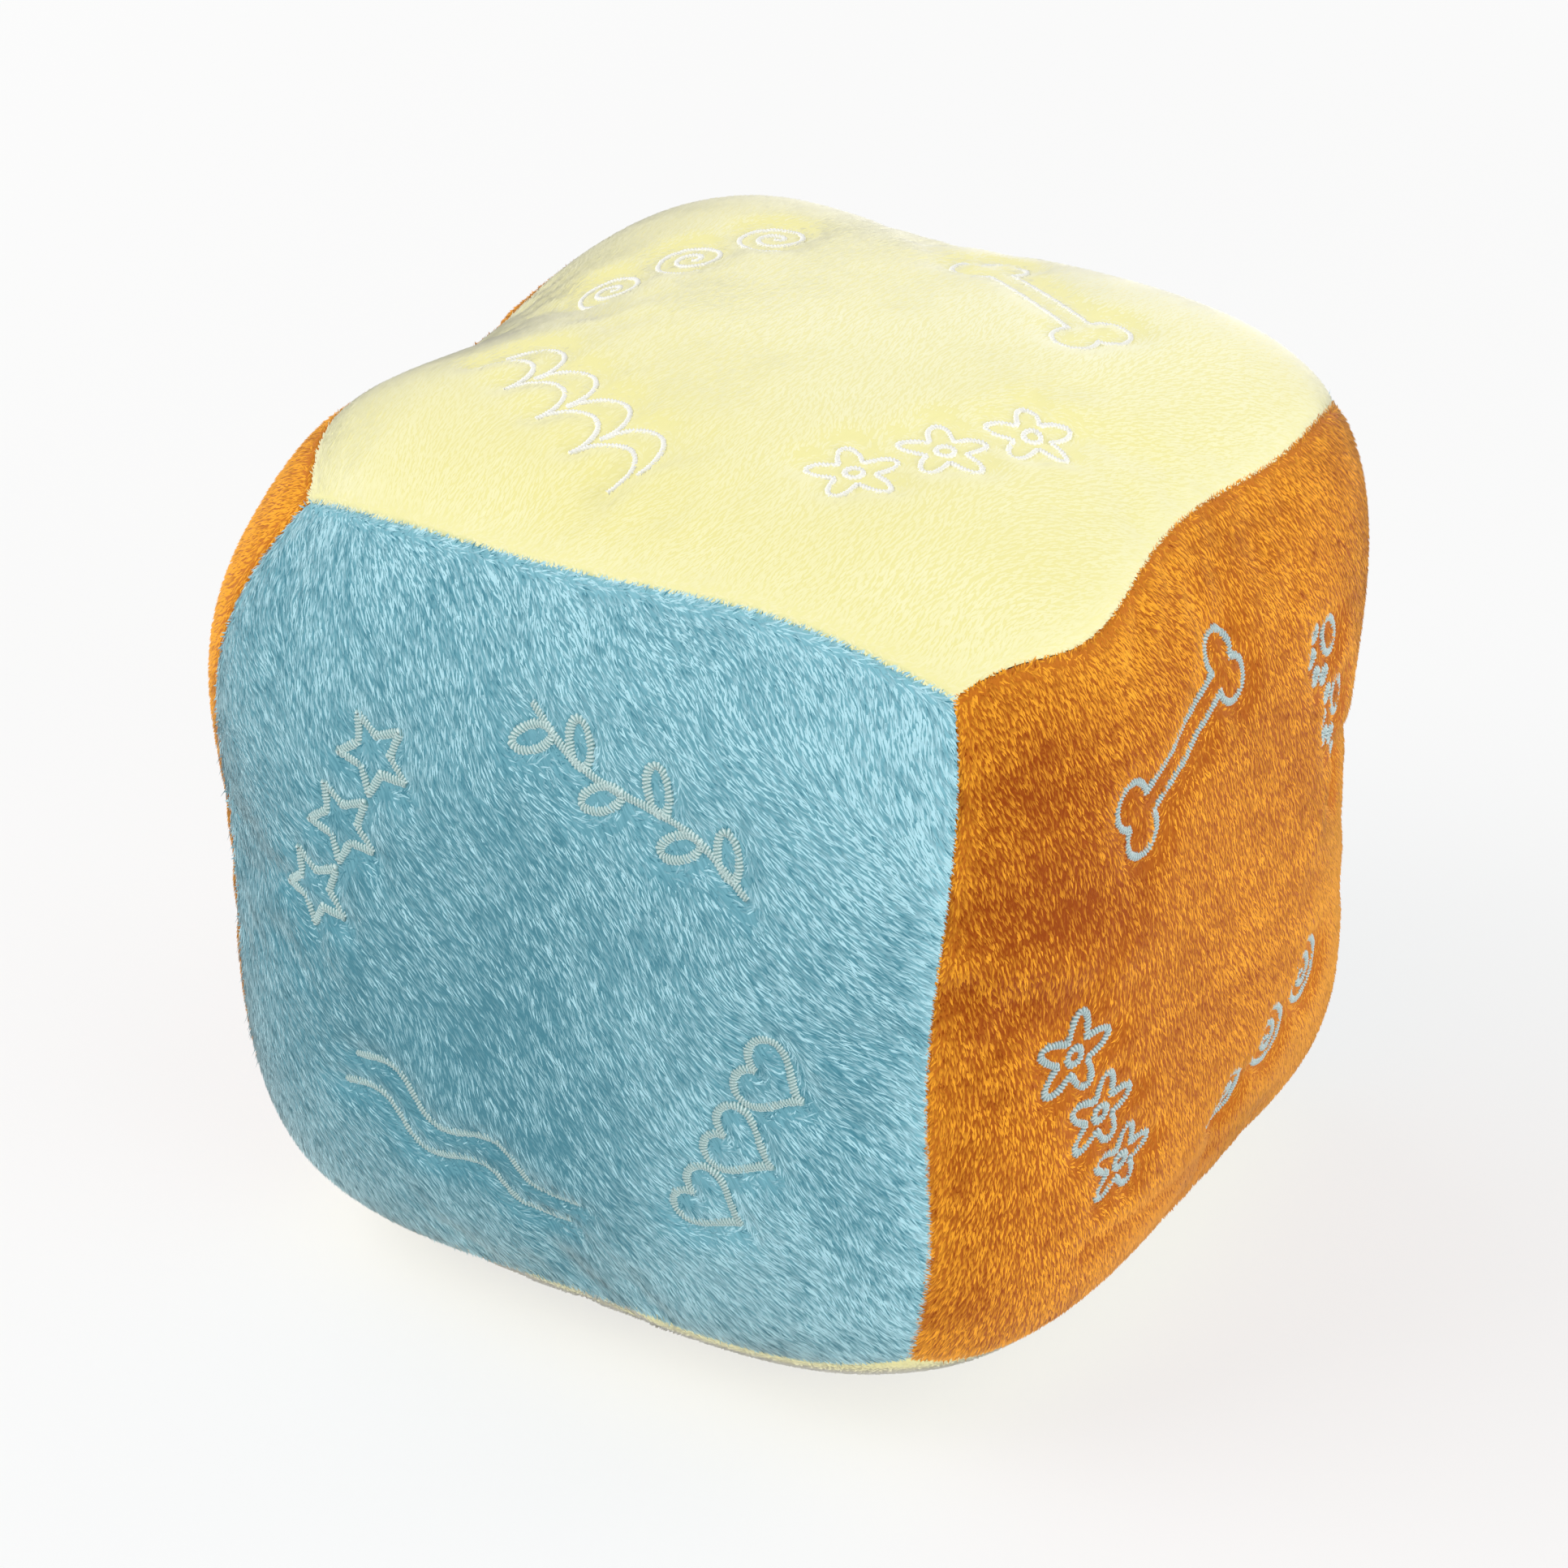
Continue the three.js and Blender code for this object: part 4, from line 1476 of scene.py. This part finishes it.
@dataclass
class FibreFilling:
    """The carded fibre inside: it fills the toy up to the plush, but not between the seam allowances.

    Sizes are in mm. Tuft and tuft_pitch are how far it is uneven and how wide its tufts are.
    """

    form: ToyForm
    swell: Swell
    finish: FibreFinish
    under_plush: float = 3.4
    under_seams: float = 10.6
    shoulder: float = 9.0
    tuft: float = 0.5
    tuft_pitch: float = 9.0
    seed: int = 31

    def build(self) -> None:
        """Make the filling: the toy's form, deeper towards the seams by a smooth step, with noisy tufts."""
        net = self.swell.net
        point, normal = self.form.surface(net.directions)
        share = np.clip(net.from_seam / self.shoulder, 0, 1)
        step = share * share * (3 - 2 * share)
        depth = self.under_seams + (self.under_plush - self.under_seams) * step
        x, y, z = point.T
        depth += self.tuft + self.tuft * smooth_noise(x + z * 0.7, y - z * 0.6, self.tuft_pitch, self.seed)
        middle = np.array([0, 0, self.form.half[2] - self.form.settle])
        inward = unit(unit(middle - point) - normal)
        point = point + self.swell.net_moves + inward * depth[:, None]
        filling = mesh_object("carded_filling", point, [net.faces])
        add_piece(filling, self.finish.material(), "fibre_filling")


@dataclass(frozen=True)
class SoftBox:
    """A square soft lamp: its place round the toy, its power in watts, and its side and distance in mm."""

    name: str
    azimuth_deg: float
    elevation_deg: float
    power: float
    size: float = 800.0
    distance: float = 1250.0


@dataclass
class Studio:
    """The pale floor, the soft lights and the camera, which stands as the photograph's did.

    Sizes are in mm. Glow is the share of the floor's own white near the toy and far from it, and glow_reach
    the two distances between which it rises.
    """

    azimuth_deg: float = 32.0
    elevation_deg: float = 30.0
    distance: float = 604.0
    focal_px: float = 5200.0
    image_px: float = 1932.0
    sensor: float = 36.0
    aside: float = -3.9
    above: float = -1.3
    middle: float = 66.8
    floor_half: float = 4000.0
    glow: tuple[float, float] = (0.7, 1.0)
    glow_reach: tuple[float, float] = (200.0, 1000.0)
    fill_light: float = 0.4
    lamps: tuple[SoftBox, ...] = (
        SoftBox("softbox_left", -45, 45, 8.3),
        SoftBox("softbox_right", 75, 10, 8.6),
        SoftBox("softbox_behind_right", 140, 20, 4.2),
        SoftBox("softbox_behind_left", -100, 45, 2.7),
    )

    @staticmethod
    def axes(azimuth_deg: float, elevation_deg: float) -> Array:
        """Give the right, up and back axes of something that looks at the toy.

        Args:
            azimuth_deg: Its place round the toy, from the front towards the right.
            elevation_deg: Its height above the horizon.

        Returns:
            The axes as rows.
        """
        a, e = np.radians([azimuth_deg, elevation_deg])
        back = np.array([np.sin(a) * np.cos(e), -np.cos(a) * np.cos(e), np.sin(e)])
        right = np.array([np.cos(a), np.sin(a), 0])
        return np.array([right, np.cross(back, right), back])

    @staticmethod
    def place(thing: bpy.types.Object, axes: Array, point: Array) -> None:
        """Turn an object to its axes and put it in its place.

        Args:
            thing: The object.
            axes: Its right, up and back axes as rows.
            point: Its place, mm.
        """
        matrix = np.eye(4)
        matrix[:3, :3] = axes.T
        matrix[:3, 3] = point * MM
        thing.matrix_world = Matrix(matrix.tolist())

    def build_camera(self) -> None:
        """Set up the camera: a long lens, with the toy a little off its middle."""
        data = bpy.data.cameras.new("camera")
        data.sensor_width = self.sensor
        data.lens = self.focal_px / self.image_px * self.sensor
        data.clip_start, data.clip_end = 0.01, 100
        camera = bpy.data.objects.new("camera", data)
        bpy.context.collection.objects.link(camera)
        axes = self.axes(self.azimuth_deg, self.elevation_deg)
        offset = axes.T @ [self.aside, self.above, self.distance]
        self.place(camera, axes, np.array([0, 0, self.middle]) + offset)
        bpy.context.scene.camera = camera

    def build_lamp(self, box: SoftBox) -> None:
        """Hang a soft box so that it faces the toy's middle.

        Args:
            box: The lamp's sizes.
        """
        data = bpy.data.lights.new(box.name, "AREA")
        data.size = box.size * MM
        data.energy = box.power
        lamp = bpy.data.objects.new(box.name, data)
        bpy.context.collection.objects.link(lamp)
        axes = self.axes(box.azimuth_deg, box.elevation_deg)
        self.place(lamp, axes, np.array([0, 0, self.middle]) + axes[2] * box.distance)

    @staticmethod
    def straight_rays(tree: bpy.types.NodeTree) -> bpy.types.NodeSocket:
        """Tell the rays that show the background, in the picture or a gloss, from those that light the toy.

        Args:
            tree: The node tree to add to.

        Returns:
            A socket with 1 for camera, glossy and transmission rays.
        """
        path = add_node(tree, "LightPath")
        glossy = add_node(tree, "Math", {0: path.outputs["Is Camera Ray"], 1: path.outputs["Is Glossy Ray"]},
                          operation="MAXIMUM")
        clear = add_node(tree, "Math", {0: glossy.outputs[0], 1: path.outputs["Is Transmission Ray"]},
                         operation="MAXIMUM")
        return clear.outputs[0]

    def build_floor(self) -> None:
        """Lay the floor: pale paper, which to the camera glows in part near the toy and in full far off."""
        half = self.floor_half
        points = np.array([[-half, -half, 0], [half, -half, 0], [half, half, 0], [-half, half, 0]], float)
        mesh = bpy.data.meshes.new("floor")
        mesh.from_pydata((points * MM).tolist(), [], [[0, 1, 2, 3]])
        floor = bpy.data.objects.new("floor", mesh)
        bpy.context.collection.objects.link(floor)
        material, tree = new_material("white paper sweep")
        paper = add_node(tree, "BsdfDiffuse", {"Color": linear("#f1f1f0")})
        glow = add_node(tree, "Emission", {"Color": linear("#ffffff"), "Strength": 1.0})
        place = add_node(tree, "TexCoord")
        away = add_node(tree, "VectorMath", {0: place.outputs["Object"]}, operation="LENGTH")
        near, far = self.glow_reach
        low, high = self.glow
        white = add_node(tree, "MapRange", {
            "Value": away.outputs["Value"], "From Min": near * MM, "From Max": far * MM, "To Min": low,
            "To Max": high}, interpolation_type="SMOOTHSTEP")
        share = add_node(tree, "Math", {0: self.straight_rays(tree), 1: white.outputs[0]},
                         operation="MULTIPLY")
        seen = add_node(tree, "MixShader", {0: share.outputs[0], 1: paper.outputs[0], 2: glow.outputs[0]})
        add_node(tree, "OutputMaterial", {"Surface": seen.outputs[0]})
        mesh.materials.append(material)

    def build_world(self) -> None:
        """Surround the toy with even white light, and show white where the camera sees past the floor."""
        world = bpy.data.worlds.new("studio")
        world.use_nodes = True
        tree = world.node_tree
        tree.nodes.clear()
        fill = add_node(tree, "Background", {"Color": linear("#ffffff"), "Strength": self.fill_light})
        white = add_node(tree, "Background", {"Color": linear("#ffffff"), "Strength": 1.0})
        seen = add_node(tree, "MixShader", {0: self.straight_rays(tree), 1: fill.outputs[0],
                                            2: white.outputs[0]})
        add_node(tree, "OutputWorld", {"Surface": seen.outputs[0]})
        bpy.context.scene.world = world

    def build(self) -> None:
        """Set up the floor, the lights, the view and the camera."""
        self.build_floor()
        self.build_world()
        for box in self.lamps:
            self.build_lamp(box)
        bpy.context.scene.view_settings.view_transform = "Standard"
        self.build_camera()


SEAM_THREAD = ThreadFinish("spun polyester sewing thread", "#e9e6d8", "#c9c5b2", 0.7)
LEMON = Plush(
    PlushFinish("lemon", "lemon_plush", root="#ede596", tip="#fcfad4", back="#f4efb0", sheen=1.0),
    PileCut(length=1.5, rise=0.25, width=0.3, nap_deg=70, swirl_deg=30, bundle=(1.2, 0.8), loose=0.8,
            pull=0.3, streak=(0.45, 1.8), streak_share=0.07, row_share=0.02, patch_share=0.1,
            grain_share=0.04, fade=0.12, stitch_shade=0.1, relief=0.06, round=0.03),
    ThreadFinish("white polyester embroidery thread", "#fefefb", "#f2f1e6", 0.45), stitch_width=0.95)
TEAL = Plush(
    PlushFinish("teal", "teal_plush", root="#498899", tip="#b7e4ef", back="#86c0ce", sheen=0.4),
    PileCut(length=2.2, rise=0.45, width=0.24, nap_deg=-40, swirl_deg=26, bundle=(1.8, 0.7), loose=0.9,
            pull=0.4, streak=(0.35, 3.5), streak_share=0.5, row_share=0.12, patch_share=0.12,
            grain_share=0.45, fade=0.34, stitch_shade=0.5, relief=0.3, round=0.25),
    ThreadFinish("pale mint polyester embroidery thread", "#e4f8f4", "#559094", 0.4), stitch_width=1.55)
ORANGE = Plush(
    PlushFinish("orange", "orange_plush", root="#954308", tip="#ffae30", back="#cd7820", sheen=0.18),
    PileCut(length=1.35, rise=0.45, width=0.3, nap_deg=-95, swirl_deg=16, bundle=(1.15, 0.75), loose=0.4,
            pull=0.65, streak=(0.35, 1.0), streak_share=0.36, row_share=0.18, patch_share=0.15,
            grain_share=0.24, fade=0.34, stitch_shade=0.35, relief=0.25, round=0.2),
    ThreadFinish("mist grey polyester embroidery thread", "#d2e4e3", "#587a7e", 0.4), stitch_width=1.45)

# Painted light and shade on the top: lighter and paler over its middle and back right, a painted sheen, and
# darker at its front.
TOP_PAINTED_LIGHT = Wear(strokes=(
    PaintedLightPatch(0, 15, 0.2, 25), PaintedLightPatch(35, 35, 0.25, 20), PaintedLightPatch(-10, -48, -0.1, 16)))
# Painted shade along the front edge of the bottom. It also takes off some of the sheen that shows there.
UNDERSIDE_PAINTED_SHADE = Wear(strokes=(
    PaintedLightPatch(-15, 56, -0.4, 22), PaintedLightPatch(45, 54, -0.4, 22)))
# Painted light near the top and the lower right of the teal panels, and painted shade left of the middle.
TEAL_PAINTED_LIGHT = Wear(strokes=(
    PaintedLightPatch(12, 50, 0.15, 14), PaintedLightPatch(47, 48, 0.25, 13), PaintedLightPatch(-9, -20, -0.35, 16),
    PaintedLightPatch(32, -38, 0.2, 15), PaintedLightPatch(-50, 0, -0.1, 15), PaintedLightPatch(-42, -42, -0.02, 15)))
# Painted light on the front top corner of the left panel.
LEFT_PAINTED_LIGHT = Wear(strokes=(
    PaintedLightPatch(50, 45, 0.35, 25),))
# Real folds, with painted shade in their creases. Painted light along the top edge and on the lower right,
# and painted shade on the left by the front seam. Some patches also lay the pile flat.
FOLDS_AND_PAINTED_LIGHT = Wear(
    folds=(Fold((-60, 47), (-44, 40), -1.1, 3.0), Fold((-60, 29), (-30, 17), -1.2, 3.5),
           Fold((-56, 19), (-33, 9), 1.0, 2.2), Fold((-60, 15), (-36, 4), -1.2, 2.2),
           Fold((-33, -39), (7, -50), -1.0, 1.8)),
    strokes=(PaintedLightPatch(-50, 55, 0.1, 6), PaintedLightPatch(-31, 55, 0.22, 7), PaintedLightPatch(-12, 54, 0.16, 7),
             PaintedLightPatch(20, 48, 0.22, 14), PaintedLightPatch(-45, 33, -0.2, 12), PaintedLightPatch(-45, 12, -0.06, 12),
             PaintedLightPatch(-33, -37, 0.16, 12), PaintedLightPatch(2, -40, 0.14, 14, calm=0.3),
             PaintedLightPatch(45, -20, 0.22, 18, calm=0.6), PaintedLightPatch(52, 5, 0.05, 14, calm=0.5),
             PaintedLightPatch(18, -48, 0.05, 14, calm=0.5), PaintedLightPatch(-10, -56, 0.0, 12, calm=0.6)))


def pinwheel(turn_deg: float, *figures: Motif) -> tuple[MotifPlace, ...]:
    """Set four motifs in the quarters of a panel, each turned a quarter from the last.

    Args:
        turn_deg: The turn of the first.
        figures: The four motifs.

    Returns:
        Their places.
    """
    from_middle = 36
    angles = turn_deg + 45 + 90 * np.arange(4)
    east, north = from_middle * np.cos(np.radians(angles)), from_middle * np.sin(np.radians(angles))
    return tuple(MotifPlace(*place) for place in zip(figures, east, north, angles + 90))


def main() -> None:
    """Build the toy's sub-assemblies in order, then the studio."""
    logging.basicConfig(level=logging.INFO, format="%(name)s %(message)s")
    form = ToyForm()
    swell = Swell(form)
    panels = {
        Side.TOP: (LEMON, TOP_PAINTED_LIGHT, pinwheel(15, Motif.BONE, Motif.SPIRALS, Motif.SCALLOPS, Motif.FLOWERS)),
        Side.BOTTOM: (LEMON, UNDERSIDE_PAINTED_SHADE, pinwheel(-10, Motif.SPRIG, Motif.HEARTS, Motif.BONE, Motif.STARS)),
        Side.FRONT: (TEAL, TEAL_PAINTED_LIGHT, pinwheel(20, Motif.SPRIG, Motif.STARS, Motif.WAVES, Motif.HEARTS)),
        Side.BACK: (TEAL, TEAL_PAINTED_LIGHT, pinwheel(-15, Motif.WAVES, Motif.PAWS, Motif.SPIRALS, Motif.STARS)),
        Side.RIGHT: (ORANGE, FOLDS_AND_PAINTED_LIGHT, pinwheel(-20, Motif.PAWS, Motif.BONE, Motif.FLOWERS, Motif.SPIRALS)),
        Side.LEFT: (ORANGE, LEFT_PAINTED_LIGHT, pinwheel(10, Motif.HEARTS, Motif.SCALLOPS, Motif.PAWS, Motif.SPRIG)),
    }
    FibreFilling(form, swell, FibreFinish()).build()
    SeamThreads(form, SEAM_THREAD).build()
    for number, (side, (plush, wear, motifs)) in enumerate(panels.items()):
        PlushPanel(side, form, swell, plush, motifs, wear, seed=100 * number + 7).build()
    Studio().build()


if __name__ == "__main__":
    main()
